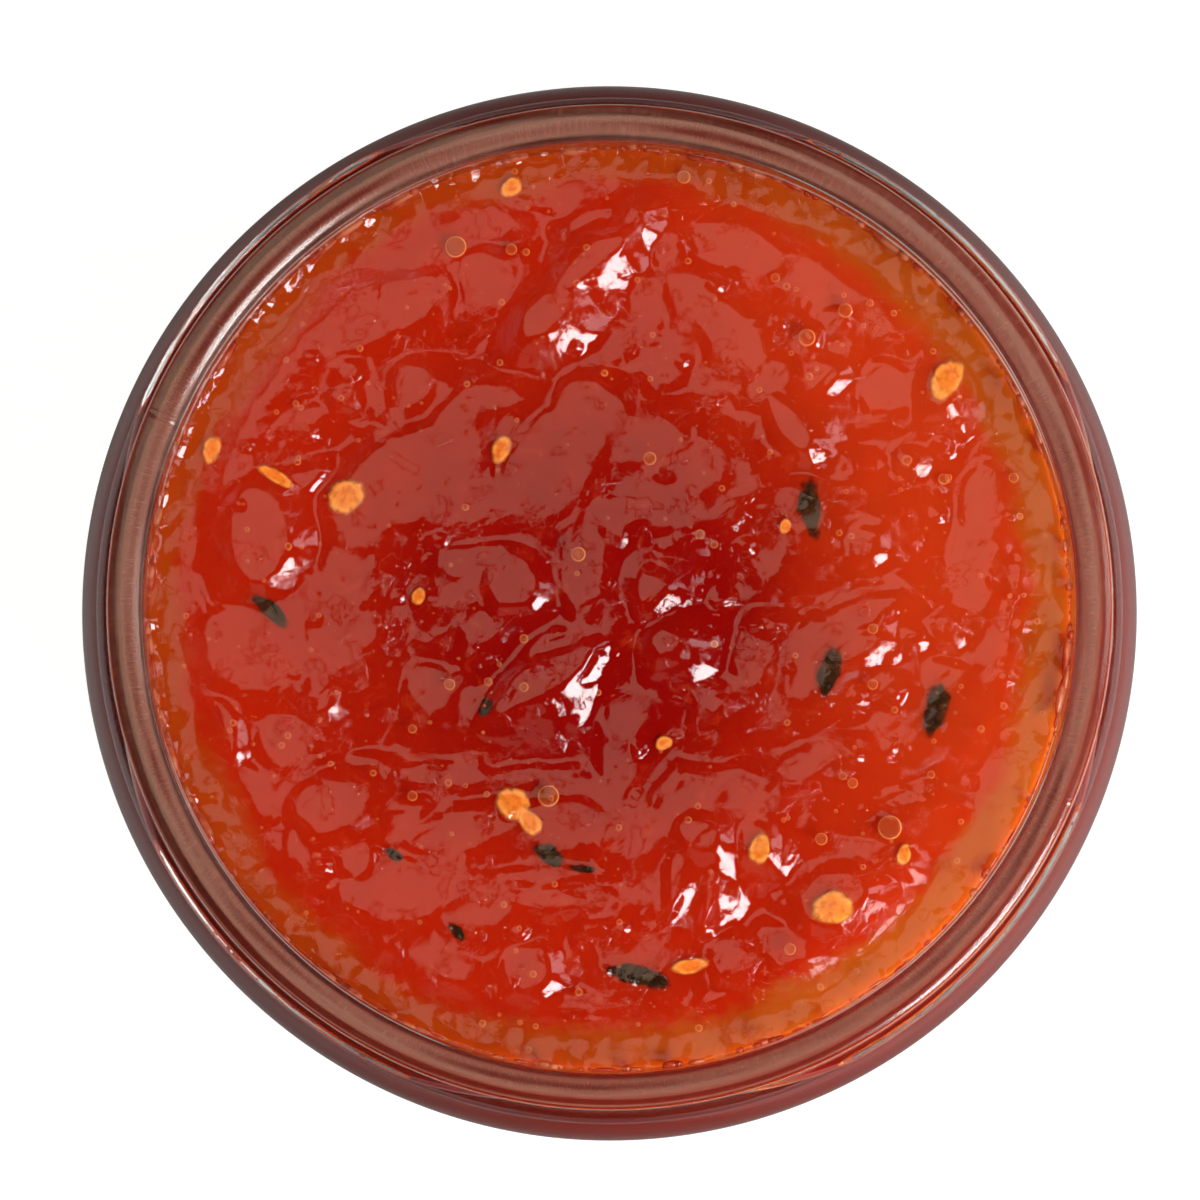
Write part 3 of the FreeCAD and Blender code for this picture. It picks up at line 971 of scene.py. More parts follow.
@dataclass(frozen=True)
class JamFlesh:
    """Tomato flesh and red jelly: deep red in the middle, orange at the wall as painted light let in through
    the glass, painted shade just below and then mottled.
    """

    level: float
    deep: Colour = (0.285, 0.0010, 0.0005)
    red: Colour = (0.46, 0.019, 0.002)
    bright: Colour = (0.54, 0.050, 0.007)
    amber: Colour = (0.43, 0.056, 0.003)
    gold: Colour = (0.47, 0.105, 0.007)
    below: Colour = (0.28, 0.006, 0.002)
    shade: Colour = (0.18, 0.010, 0.004)
    clots: Colour = (0.42, 0.012, 0.004)
    depths: Colour = (0.64, 0.036, 0.010)
    paler: Colour = (0.80, 0.14, 0.030)
    pulp: Colour = (0.50, 0.045, 0.010)
    fleck: Colour = (0.65, 0.20, 0.04)
    scatter: Point = (0.12, 0.06)
    scatter_depth: float = 2.0 * MM
    fade_start: float = 7 * MM
    fade_end: float = 24 * MM
    band_start: float = 29.2 * MM
    band_end: float = 30.9 * MM
    dark_start: float = 1.4 * MM
    dark_end: float = 3.6 * MM
    depths_start: float = 5.0 * MM
    depths_end: float = 11.0 * MM
    body_start: float = 17.0 * MM
    body_end: float = 25.0 * MM

    def material(self) -> bpy.types.Material:
        """Builds the material.

        Returns:
            The material.
        """
        shader = Shader(bpy.data.materials.new("jam_flesh"))
        x, y, z = shader.parts(shader.place())
        out = (x * x + y * y).power(0.5)
        clouds = shader.noise(7 * MM, 3.0, 0.55)
        wisps = shader.noise(1.6 * MM, 4.0, 0.6, 0.6)
        # The flesh is painted lighter from the deep middle out to the wall and towards the right: painted
        # light let in through the glass wall.
        away = out + (clouds - 0.5) * (9 * MM) + x * 0.12
        side = (x + y * 0.25 + clouds * (6 * MM)).step(7 * MM, 29 * MM)
        outer = shader.blend(side, self.red, self.bright)
        colour = shader.blend(away.step(self.fade_start, self.fade_end), self.deep, outer)
        # Flesh that stands proud is painted a little redder: a painted warm tint for the lamps' reflection on
        # the lumps.
        colour = shader.blend(shader.attribute("proud") * 0.12, colour, self.red)
        # The orange band at the wall is painted light shining through the thin jam there, golder at the
        # right.
        right = (x - y * 0.2).step(-8 * MM, 26 * MM)
        near = out + (clouds - 0.5) * (4 * MM) + (wisps - 0.5) * (2 * MM) + right * (0.9 * MM)
        edge = shader.blend(right, self.amber, self.gold)
        colour = shader.blend(near.step(self.band_start, self.band_end), colour, edge)
        colour = shader.blend(wisps.step(0.56, 0.74) * 0.45, colour, self.pulp)
        flecks = shader.noise(0.45 * MM, 2.0, 0.5)
        colour = shader.blend(flecks.step(0.70, 0.80) * 0.35, colour, self.fleck)
        # From 1.4 mm under the surface the flesh is painted darker, and darker still further down: painted
        # shade on the jam that is seen through the glass from above.
        depth = self.level - z
        colour = shader.blend(depth.step(self.dark_start, self.dark_end), colour, self.below)
        colour = shader.blend(depth.step(self.depths_start, self.depths_end), colour, self.shade)
        lumps = shader.blend(shader.noise(4.5 * MM, 4.0, 0.6).step(0.42, 0.60), self.clots, self.depths)
        lumps = shader.blend(wisps.step(0.54, 0.70) * 0.5, lumps, self.paler)
        colour = shader.blend(depth.step(self.body_start, self.body_end), colour, lumps)
        return shader.finish(
            shader.principled(
                Base_Color=colour,
                Roughness=0.5,
                Specular_IOR_Level=0.0,
                Subsurface_Weight=1.0,
                Subsurface_Radius=(1.0, *self.scatter),
                Subsurface_Scale=self.scatter_depth,
            )
        )


@dataclass(frozen=True)
class ClearJelly:
    """The wet skin of clear jelly, which shows what lies under it and mirrors the lamps."""

    tint: Colour = (1.0, 0.95, 0.90)
    ior: float = 1.44
    roughness: float = 0.03
    grain: float = 0.45 * MM
    grain_depth: float = 0.014 * MM
    tear: float = 2.2 * MM
    tear_depth: float = 0.045 * MM
    island: float = 1.6 * MM

    def material(self) -> bpy.types.Material:
        """Builds the material.

        Returns:
            The material.
        """
        shader = Shader(bpy.data.materials.new("clear_jelly"))
        loose = 1.0 - shader.attribute("calm") * 0.85
        islands = shader.noise(self.island, 5.0, 0.6).step(0.56, 0.62)
        torn = shader.bump(shader.noise(self.tear, 5.0, 0.6) * loose + islands * 0.5, self.tear_depth)
        normal = shader.bump(shader.noise(self.grain, 3.0, 0.6), self.grain_depth, Normal=torn)
        look = {"Color": (1.0, 1.0, 1.0), "Roughness": self.roughness, "Normal": normal}
        wet = shader.node("ShaderNodeBsdfAnisotropic", {"distribution": "GGX"}, look)
        mirror = shader.node("ShaderNodeFresnel", {}, {"IOR": self.ior}) * (1.0 - shader.ray("Is Shadow Ray"))
        return shader.finish(shader.mix(mirror, shader.clear(self.tint), wet))


@dataclass(frozen=True)
class SeedCoat:
    """A tomato seed: orange straw in the middle inside a paler, fuzzy rim."""

    middle: Colour = (0.92, 0.28, 0.035)
    rim: Colour = (1.0, 0.42, 0.08)
    soaked: Colour = (0.62, 0.12, 0.01)

    def material(self) -> bpy.types.Material:
        """Builds the material.

        Returns:
            The material.
        """
        shader = Shader(bpy.data.materials.new("seed_coat"))
        colour = shader.blend(shader.attribute("rim").step(0.35, 0.75), self.middle, self.rim)
        mottle = shader.noise(0.5 * MM, 3.0)
        colour = shader.blend(mottle.step(0.45, 0.65) * 0.5, colour, self.soaked)
        coat = shader.principled(Base_Color=colour, Roughness=0.5, Specular_IOR_Level=0.0)
        fuzz = (shader.attribute("rim") + (mottle - 0.5) * 0.3).step(0.66, 1.0)
        return shader.finish(shader.mix(0.12 + fuzz * 0.88, coat, shader.clear()))


@dataclass(frozen=True)
class LeafSkin:
    """A cooked thyme leaf: dull olive brown, darker along its rib."""

    blade: Colour = (0.085, 0.032, 0.012)
    rib: Colour = (0.020, 0.010, 0.004)

    def material(self) -> bpy.types.Material:
        """Builds the material.

        Returns:
            The material.
        """
        shader = Shader(bpy.data.materials.new("thyme_leaf"))
        mottle = shader.noise(0.7 * MM, 3.0)
        colour = shader.blend(mottle.step(0.35, 0.7), self.rib, self.blade)
        colour = shader.blend(shader.attribute("rib").step(0.3, 1.0) * 0.7, colour, self.rib)
        skin = shader.principled(Base_Color=colour, Roughness=0.5, Specular_IOR_Level=0.0)
        wear_and_highlight = (shader.attribute("edge") + (mottle - 0.5) * 0.5).step(0.60, 1.0)
        return shader.finish(shader.mix(0.15 + wear_and_highlight * 0.85, skin, shader.clear()))


@dataclass(frozen=True)
class BubbleFilm:
    """An air bubble in the jelly: clear with a bright rim, a painted highlight for the light that its edge
    bends and reflects.
    """

    glow: Colour = (1.0, 0.48, 0.14)
    tint: Colour = (1.0, 0.93, 0.90)

    def material(self) -> bpy.types.Material:
        """Builds the material.

        Returns:
            The material.
        """
        shader = Shader(bpy.data.materials.new("bubble_film"))
        # The bright orange rim is painted: a painted highlight where the bubble's edge would bend and reflect
        # light.
        edge = shader.node("ShaderNodeLayerWeight", {}, {"Blend": 0.35}, output="Facing")
        bright = shader.principled(Base_Color=self.glow, Roughness=0.1)
        share = edge.step(0.10, 0.42) * 0.9 + 0.06
        return shader.finish(shader.mix(share, shader.clear(self.tint), bright))


@dataclass(frozen=True)
class DriedJam:
    """Thin smears and drops of jam on the glass: brown red and glossy."""

    thin: Colour = (0.62, 0.20, 0.09)
    thick: Colour = (0.42, 0.04, 0.012)
    tint: Colour = (1.0, 0.45, 0.30)
    clearness: float = 0.4

    def material(self) -> bpy.types.Material:
        """Builds the material.

        Returns:
            The material.
        """
        shader = Shader(bpy.data.materials.new("dried_jam"))
        colour = shader.blend(shader.noise(2.2 * MM, 3.0).step(0.40, 0.62), self.thick, self.thin)
        jam = shader.principled(Base_Color=colour, Roughness=0.18)
        return shader.finish(shader.mix(self.clearness, jam, shader.clear(self.tint)))


@dataclass(frozen=True)
class StudioFloor:
    """A white sheet that stays white to the eye and keeps a faint shadow."""

    lift: float = 0.95
    dim: float = 0.08
    through: float = 0.85
    paper: Colour = (0.25, 0.25, 0.25)

    def material(self) -> bpy.types.Material:
        """Builds the material.

        Returns:
            The material.
        """
        shader = Shader(bpy.data.materials.new("studio_floor"))
        eye = shader.ray("Is Camera Ray")
        seen = eye.most(shader.ray("Is Glossy Ray").most(shader.ray("Is Transmission Ray") * self.through))
        x, _, _ = shader.parts(shader.place())
        sides = x.step(0.03, 0.16) + (x * -1.0).step(0.03, 0.16) * 0.6
        tone = (eye + sides + self.dim).clamped()
        paper = shader.node("ShaderNodeBsdfDiffuse", {}, {"Color": self.paper})
        light = shader.blend(tone, (0.0, 0.0, 0.0), (1.0, 1.0, 1.0))
        glow = shader.node("ShaderNodeEmission", {}, {"Color": light, "Strength": seen * self.lift})
        return shader.finish(shader.node("ShaderNodeAddShader", {}, {0: paper, 1: glow}))


# ------------------------------------------------------------
# The jar
# ------------------------------------------------------------


def arc(centre: Point, radius: float, start_deg: float, end_deg: float, steps: int) -> list[Point]:
    """Points of an arc in the half section, without its first.

    Args:
        centre: radius and height of the arc's centre.
        radius: the arc's radius.
        start_deg: first angle, 0 outwards and 90 up.
        end_deg: last angle.
        steps: how many points to give.

    Returns:
        The points, as radius and height.
    """
    points = []
    for step in range(1, steps + 1):
        turn = math.radians(start_deg + (end_deg - start_deg) * step / steps)
        points.append((centre[0] + radius * math.cos(turn), centre[1] + radius * math.sin(turn)))
    return points


def run(start: Point, end: Point, steps: int) -> list[Point]:
    """Points of a straight line in the half section, without its first.

    Args:
        start: where it starts.
        end: where it ends.
        steps: how many points to give.

    Returns:
        The points, as radius and height.
    """
    return [
        (start[0] + (end[0] - start[0]) * step / steps, start[1] + (end[1] - start[1]) * step / steps)
        for step in range(1, steps + 1)
    ]


def arc_through(start: Point, middle: Point, end: Point, steps: int) -> list[Point]:
    """Points of the arc through three points of the half section, without its first.

    Args:
        start: where it starts.
        middle: a point on it.
        end: where it ends.
        steps: how many points to give.

    Returns:
        The points, as radius and height.
    """
    (ax, ay), (bx, by), (cx, cy) = start, middle, end
    twice = 2 * (ax * (by - cy) + bx * (cy - ay) + cx * (ay - by))
    a, b, c = ax**2 + ay**2, bx**2 + by**2, cx**2 + cy**2
    centre = (
        (a * (by - cy) + b * (cy - ay) + c * (ay - by)) / twice,
        (a * (cx - bx) + b * (ax - cx) + c * (bx - ax)) / twice,
    )
    first = math.degrees(math.atan2(ay - centre[1], ax - centre[0]))
    last = math.degrees(math.atan2(cy - centre[1], cx - centre[0]))
    return arc(centre, math.hypot(ax - centre[0], ay - centre[1]), first, last, steps)


@dataclass
class GlassJar:
    """The pressed glass jar, in millimetres, with the sizes of its CAD solid."""

    height: float
    bore: float = 32.2
    lip_wall: float = 2.6
    shoulder_step: float = 3.05
    wall: float = 2.4
    heel: float = 6.0
    foot_width: float = 4.0
    base: float = 5.0
    punt: float = 2.4
    shoulder: float = 5.0
    fillet: float = 1.6
    recess: float = 0.5
    finish: float = 16.0
    draft: float = 0.35
    bead_depth: float = 12.4
    bead_height: float = 2.6
    bead_proud: float = 1.1
    crown: float = 2.2
    crest: float = 0.25
    outer_edge: float = 0.4
    inner_edge: float = 0.6
    threads: int = 4
    thread_span: float = 66.0
    thread_first: float = 14.0
    thread_depth: float = 4.2
    thread_drop: float = 3.0
    thread_round: float = 1.0
    thread_proud: float = 0.9
    thread_top: float = 0.6
    thread_bottom: float = 10.4
    thread_taper: float = 1.6
    thread_fullness: float = 0.8
    segments: int = 288
    neck_rows: int = 80
    bend_steps: int = 12
    lip_steps: int = 8

    def __post_init__(self) -> None:
        """Works out the radii that follow from the others."""
        self.lip = self.bore + self.lip_wall
        self.body = self.lip + self.shoulder_step
        self.body_inner = self.body - self.wall
        self.neck = self.lip - self.recess

    @staticmethod
    def climb(step: float, convex: float, concave: float) -> float:
        """How much a shoulder of two tangent arcs rises while it comes in by step."""
        return math.sqrt((convex + concave) ** 2 - (convex + concave - step) ** 2)

    def shoulder_foot(self) -> float:
        """Height where the straight body ends."""
        return self.height - self.finish - self.climb(self.body - self.neck, self.shoulder, self.fillet)

    def shoulder_points(self, wide: float, narrow: float, convex: float, concave: float) -> list[Point]:
        """The shoulder's two arcs from the body up to the neck.

        Args:
            wide: the body's radius.
            narrow: the neck's radius.
            convex: radius of the lower arc.
            concave: radius of the upper arc.

        Returns:
            The points, as radius and height.
        """
        foot = self.shoulder_foot()
        rise = self.climb(wide - narrow, convex, concave)
        lean = math.degrees(math.atan2(rise, convex + concave - (wide - narrow)))
        lower = arc((wide - convex, foot), convex, 0, lean, 10)
        upper = arc((narrow + concave, foot + rise), concave, 180 + lean, 180, 8)
        return lower + upper

    def outside(self) -> list[Point]:
        """The outer half section from the middle of the underside up to the lip's outer edge.

        Returns:
            The points, as radius and height.
        """
        reach = self.body - self.heel - self.foot_width
        radius = (reach**2 + self.punt**2) / (2 * self.punt)
        half = math.degrees(math.asin(reach / radius))
        points = arc((0, self.punt - radius), radius, 90, 90 - half, self.bend_steps)
        points += run((reach, 0), (reach + self.foot_width, 0), 3)
        points += arc((self.body - self.heel, self.heel), self.heel, -90, 0, self.bend_steps)
        points += run((self.body, self.heel), (self.body, self.shoulder_foot()), self.bend_steps)
        points += self.shoulder_points(self.body, self.neck, self.shoulder, self.fillet)
        bead_low = self.height - self.bead_depth - self.bead_height / 2
        root = self.lip + self.draft
        points += run(points[-1], (self.neck, bead_low), 2)
        bead_middle = (root + self.bead_proud, bead_low + self.bead_height / 2)
        points += arc_through(points[-1], bead_middle, (root, bead_low + self.bead_height), self.bend_steps)
        return points + run(points[-1], (self.lip, self.lip_foot(self.outer_edge)), self.neck_rows)

    def lip_reach(self, edge: float) -> float:
        """How far an edge's arc centre lies from the crown's crest."""
        crest = self.bore + self.lip_wall / 2 + self.crest
        return self.lip - edge - crest if edge == self.outer_edge else crest - self.bore - edge

    def lip_foot(self, edge: float) -> float:
        """Height where the rounded lip meets the wall on the side of an edge."""
        return self.height - self.crown + math.sqrt((self.crown - edge) ** 2 - self.lip_reach(edge) ** 2)

    def lip_points(self) -> list[Point]:
        """The rounded lip from outside to inside.

        Returns:
            The points, as radius and height.
        """
        crest = self.bore + self.lip_wall / 2 + self.crest
        outer, inner = self.lip_reach(self.outer_edge), self.lip_reach(self.inner_edge)
        outer_lean = math.degrees(math.acos(outer / (self.crown - self.outer_edge)))
        inner_lean = 180 - math.degrees(math.acos(inner / (self.crown - self.inner_edge)))
        outer_centre = (crest + outer, self.lip_foot(self.outer_edge))
        inner_centre = (crest - inner, self.lip_foot(self.inner_edge))
        return [
            *arc(outer_centre, self.outer_edge, 0, outer_lean, self.lip_steps),
            *arc((crest, self.height - self.crown), self.crown, outer_lean, inner_lean, 2 * self.lip_steps),
            *arc(inner_centre, self.inner_edge, inner_lean, 180, self.lip_steps),
        ]

    def inside(self, top: float) -> list[Point]:
        """The inner half section from a height in the bore down to near the middle of the floor.

        Args:
            top: the height that it starts from.

        Returns:
            The points, as radius and height.
        """
        bend, curve = self.shoulder - self.wall, self.fillet + self.wall
        neck_foot = self.shoulder_foot() + self.climb(self.body_inner - self.bore, bend, curve)
        inner_heel = self.heel - self.wall
        heel_top = self.base + inner_heel
        corner = self.body_inner - inner_heel
        down = self.shoulder_points(self.body_inner, self.bore, bend, curve)[::-1]
        return [
            *run((self.bore, top), (self.bore, neck_foot), 6),
            *down[1:],
            *run((self.body_inner, self.shoulder_foot()), (self.body_inner, heel_top), 10),
            *arc((corner, heel_top), inner_heel, 0, -90, 8),
            *run((corner, self.base), (corner * 0.2, self.base), 4),
        ]

    def raise_threads(self, rows: np.ndarray) -> np.ndarray:
        """Slants the rows of the neck's outer wall along the lid threads and moves them out on these.

        Args:
            rows: places of the whole jar.

        Returns:
            The moved places.
        """
        out = np.hypot(rows[:, 0], rows[:, 1])
        angle = np.degrees(np.arctan2(rows[:, 1], rows[:, 0]))
        outer = out > (self.bore + self.lip_wall * 0.8) * MM
        wall = outer & (rows[:, 2] > (self.height - self.thread_bottom - 0.1) * MM)
        pitch = 360 / self.threads / self.thread_span
        along = ((angle - self.thread_first) % (360 / self.threads)) / self.thread_span
        height = rows[:, 2] / MM
        middle = self.height - self.thread_depth
        above = self.thread_depth - self.thread_top - self.thread_round
        below = self.thread_bottom - self.thread_depth - self.thread_round
        over = (self.height - self.thread_top - height) / above
        under = (height - self.height + self.thread_bottom) / below
        drop = self.thread_drop * (np.clip(along, 0, 1) - ease(1.0, pitch, along))
        slant = drop * np.clip(np.minimum(over, under), 0, 1)
        inside = np.clip(1 - ((height - middle) / self.thread_round) ** 2, 0, 1)
        ends = np.clip(self.thread_taper * np.sin(np.pi * np.clip(along, 0, 1)), 0, 1)
        proud = np.where(wall, self.thread_proud * inside**self.thread_fullness * ends * MM, 0)
        moved = rows.copy()
        moved[:, :2] *= (1 + proud / out.clip(TINY))[:, None]
        moved[:, 2] -= np.where(wall, slant * MM, 0)
        return moved

    def build(self) -> None:
        """Raises the jar ring by ring, adds its threads and dresses it."""
        brim = self.lip_foot(self.inner_edge)
        section = [*self.outside(), *self.lip_points(), *self.inside(brim)]
        piece = turned_piece([(radius * MM, height * MM) for radius, height in section], self.segments)
        put_places(piece, self.raise_threads(places(piece)))
        dress(settle(piece, "glass_body"), ClearGlass(brim * MM).material(), "glass_jar")


# ------------------------------------------------------------
# The jam
# ------------------------------------------------------------


@dataclass
class Jam:
    """The jam and what is sunk in it. Sizes in millimetres."""

    jar: GlassJar
    level: float
    bite: float = 0.13
    skin_rows: int = 296
    flesh_rows: int = 200
    jelly_depth: float = 0.40
    jelly_swell: float = 0.20
    flesh_share: float = 0.28
    flesh_smoothing: int = 6
    flesh_edge: float = 1.6
    skin_edge: float = 1.9
    skin_base: float = 2.5
    small_bubbles: int = 420
    smears: int = 420
    seed: int = 7
    seed_flat: float = 0.26
    seed_rim: float = 0.12
    seed_scale: float = 1.15
    seed_lift: float = 0.32
    leaf_lift: float = 0.46
    bubble_flat: float = 0.45
    small_bubble: float = 0.06
    small_drop: float = 0.10

    def __post_init__(self) -> None:
        """Makes the surface that everything follows."""
        self.top = JamTop(self.jar.bore)

    def disc(self, rows: int, height: Callable[[np.ndarray, np.ndarray], np.ndarray]) -> bpy.types.Object:
        """A round sheet of squares with an uneven height, which reaches just into the glass.

        Args:
            rows: how many squares lie across it.
            height: gives the height at places in millimetres.

        Returns:
            The new object, in edit mode, with its border selected.
        """
        deselect()
        bpy.ops.mesh.primitive_grid_add(x_subdivisions=rows, y_subdivisions=rows, size=2.0)
        piece = bpy.context.object
        x, y = places(piece)[:, :2].T
        wide = np.abs(x) >= np.abs(y)
        main, other = np.where(wide, x, y), np.where(wide, y, x)
        turn = math.pi / 4 * other / np.where(main == 0, 1, main)
        radius = np.abs(main) * (self.jar.bore + self.bite)
        ahead, aside = np.sign(main) * radius * np.cos(turn), np.sign(main) * radius * np.sin(turn)
        round_x, round_y = np.where(wide, ahead, aside), np.where(wide, aside, ahead)
        z = height(round_x, round_y) + self.level
        put_places(piece, np.stack([round_x, round_y, z], axis=1) * MM)
        bpy.ops.object.mode_set(mode="EDIT")
        bpy.ops.mesh.select_mode(type="EDGE")
        bpy.ops.mesh.select_all(action="SELECT")
        bpy.ops.mesh.region_to_loop()
        return piece

    def skirt(self, rings: Sequence[tuple[float, float]]) -> None:
        """Carries a disc's selected border down through rings of a radius and height and closes it.

        Args:
            rings: radius and height of each ring, from the top down.
        """
        radius = self.jar.bore + self.bite
        for next_radius, height in rings:
            bpy.ops.mesh.extrude_edges_move()
            scale = next_radius / radius
            bpy.ops.transform.resize(value=(scale, scale, 0), center_override=(0, 0, height * MM))
            radius = next_radius
        bpy.ops.mesh.extrude_edges_move()
        bpy.ops.mesh.merge(type="CENTER")
        bpy.ops.object.mode_set(mode="OBJECT")

    def flesh_height(self, x: np.ndarray, y: np.ndarray) -> np.ndarray:
        """Height of the flesh under the jelly, before it is smoothed."""
        depth = self.jelly_depth + self.jelly_swell * (0.5 + 0.5 * swell(x / 2.4, y / 2.4, 61))
        return self.flesh_share * self.top.height(x, y, 0.5) - depth

    def build_flesh(self) -> None:
        """The body of the jam, from the floor of the jar to just under the jelly."""
        piece = self.disc(self.flesh_rows, self.flesh_height)
        start = self.level - self.flesh_edge
        floor = self.jar.base + 0.01
        rings = [(self.jar.bore, start), *self.jar.inside(start)]
        self.skirt([
            (radius + self.bite, min(height, start) - (self.bite if height <= floor else 0))
            for radius, height in rings
        ])
        self.soften(piece)
        dress(settle(piece, "jam_flesh"), JamFlesh(self.level * MM).material(), "jam")

    def soften(self, piece: bpy.types.Object) -> None:
        """Smooths the flesh's relief, keeps it under the jelly and marks where it stands proud.

        Args:
            piece: the flesh.
        """
        rows = places(piece)
        out = np.hypot(rows[:, 0], rows[:, 1]) / MM
        chosen = (rows[:, 2] > (self.level - self.flesh_edge + 0.1) * MM) & (out < self.jar.bore - 0.2)
        activate(piece)
        piece.data.vertices.foreach_set("select", chosen)
        bpy.ops.object.mode_set(mode="EDIT")
        bpy.ops.mesh.select_mode(type="VERT")
        bpy.ops.mesh.vertices_smooth(factor=0.5, repeat=self.flesh_smoothing, xaxis=False, yaxis=False)
        bpy.ops.object.mode_set(mode="OBJECT")
        rows = places(piece)
        top = self.top.height(rows[:, 0] / MM, rows[:, 1] / MM)
        limit = (self.level + top - self.jelly_depth * 0.5) * MM
        rows[:, 2] = np.where(chosen, np.minimum(rows[:, 2], limit), rows[:, 2])
        put_places(piece, rows)
        # The proud mark is where the flesh material paints a warm tint under the lamps' reflection.
        mark(piece, "proud", np.where(chosen, ease(0.6, 1.8, top), 0))

    def build_skin(self) -> None:
        """The wet jelly over the flesh, closed below inside it."""
        piece = self.disc(self.skin_rows, self.top.height)
        edge = (self.jar.bore + self.bite, self.level - self.skin_edge)
        self.skirt([edge, (self.jar.bore * 0.7, self.level - self.skin_base)])
        rows = places(piece)
        mark(piece, "calm", self.top.calm(rows[:, 0] / MM, rows[:, 1] / MM))
        dress(settle(piece, "jam_jelly"), ClearJelly().material())

    def lay(
        self, piece: bpy.types.Object, x: float, y: float, turn_deg: float, under: float, deep: bool = False
    ) -> None:
        """Lays a flat piece on the jam so that it follows the surface.

        Args:
            piece: a piece modelled about the origin.
            x: where its middle goes.
            y: where its middle goes.
            turn_deg: its turn about the vertical.
            under: how far its highest place lies below the surface.
            deep: whether it lies on the flesh rather than under the jelly's surface.
        """
        rows = turned(places(piece), math.radians(turn_deg))
        u, v = rows[:, 0] + x * MM, rows[:, 1] + y * MM
        surface = self.flesh_height(u / MM, v / MM) if deep else self.top.height(u / MM, v / MM, 0.5)
        base = surface + self.level - under
        put_places(piece, np.stack([u, v, rows[:, 2] - rows[:, 2].max() + base * MM], axis=1))

    def build_seeds(self) -> None:
        """Tomato seeds: flat drops with a raised rim."""
        seeds = []
        for x, y, turn, length, width in SEEDS:
            piece = ball(28, 18)
            rows = places(piece)
            out = np.hypot(rows[:, 0], rows[:, 1])
            angle = np.arctan2(rows[:, 1], rows[:, 0])
            uneven = 1 + 0.05 * np.sin(2 * angle + x) + 0.04 * np.sin(3 * angle + y)
            thick = self.seed_flat + self.seed_rim * np.exp(-(((out - 0.8) / 0.16) ** 2))
            flat = rows[:, 2] * thick * width
            shape = np.stack([rows[:, 0] * length * uneven, rows[:, 1] * width * uneven, flat], axis=1)
            put_places(piece, shape * self.seed_scale * MM)
            mark(piece, "rim", out)
            self.lay(piece, x, y, turn, -self.seed_lift, True)
            seeds.append(piece)
        dress(settle(joined(seeds), "tomato_seeds"), SeedCoat().material())

    def build_leaves(self) -> None:
        """Thyme leaves: small pointed ovals with rolled edges and a rib."""
        leaves = []
        for x, y, turn, length, width, under in LEAVES:
            piece = ball(20, 16)
            rows = places(piece)
            along = rows[:, 0]
            blunt = 1.15 + 0.25 * along + 0.08 * np.sin(7 * along + x) + 0.10 * np.sin(17 * along + y)
            across = rows[:, 1] * blunt * width * 0.7 + 0.10 * width * np.sin(3 * along + x)
            thick = 0.10 * rows[:, 2] - 0.10 * rows[:, 1] ** 2 + 0.05 * np.sin(along * 5 + y)
            put_places(piece, np.stack([along * length / 2, across, thick * width], axis=1) * MM)
            mark(piece, "rib", np.exp(-((rows[:, 1] / 0.15) ** 2)))
            mark(piece, "edge", np.hypot(rows[:, 0], rows[:, 1]))
            self.lay(piece, x, y, turn, under - self.leaf_lift, True)
            leaves.append(piece)
        dress(settle(joined(leaves), "thyme_leaves"), LeafSkin().material())

    def bubble(self, x: float, y: float, radius: float, under: float, detail: int) -> bpy.types.Object:
        """Adds one round bubble below the surface.

        Args:
            x: where its middle goes.
            y: where its middle goes.
            radius: its radius.
            under: how far its top lies below the surface.
            detail: how often its triangles are split.

        Returns:
            The new object.
        """
        piece = round_ball(detail, radius * MM)
        put_places(piece, places(piece) * np.array([1.0, 1.0, self.bubble_flat]))
        self.lay(piece, x, y, 0, under)
        return piece

    def build_bubbles(self) -> None:
        """Air bubbles in the jelly: the larger ones in their places, the small ones mostly near the wall."""
        random = np.random.default_rng(self.seed)
        bubbles = [self.bubble(x, y, radius, 0.04, 3) for x, y, radius in RINGS]
        for _ in range(self.small_bubbles):
            angle = random.random() * 2 * math.pi
            out = random.random() ** 0.4 * (self.jar.bore - 0.8)
            radius = self.small_bubble + 0.20 * random.random() ** 3
            bubbles.append(self.bubble(out * math.cos(angle), out * math.sin(angle), radius, 0.03, 2))
        dress(settle(joined(bubbles), "air_bubbles"), BubbleFilm().material())

    def build_smears(self) -> None:
        """Drops and specks of jam left on the glass just over the jam."""
        random = np.random.default_rng(self.seed + 1)
        drops = []
        for _ in range(self.smears):
            angle = random.random() * 2 * math.pi
            size = self.small_drop + 0.50 * random.random() ** 3
            rise = 0.1 + 4.2 * random.random() ** 2.2
            piece = round_ball(2, 1.0)
            rows = places(piece) * np.array([0.5 * size, size * (0.7 + 2.2 * random.random() ** 2), size])
            rows = rows + np.array([self.jar.bore - 0.15 * size, 0, self.level + rise])
            put_places(piece, turned(rows, angle) * MM)
            drops.append(piece)
        dress(settle(joined(drops), "jam_smears"), DriedJam().material())

    def build(self) -> None:
        """Builds the jam and everything in it."""
        self.build_flesh()
        self.build_skin()
        self.build_seeds()
        self.build_leaves()
        self.build_bubbles()
        self.build_smears()


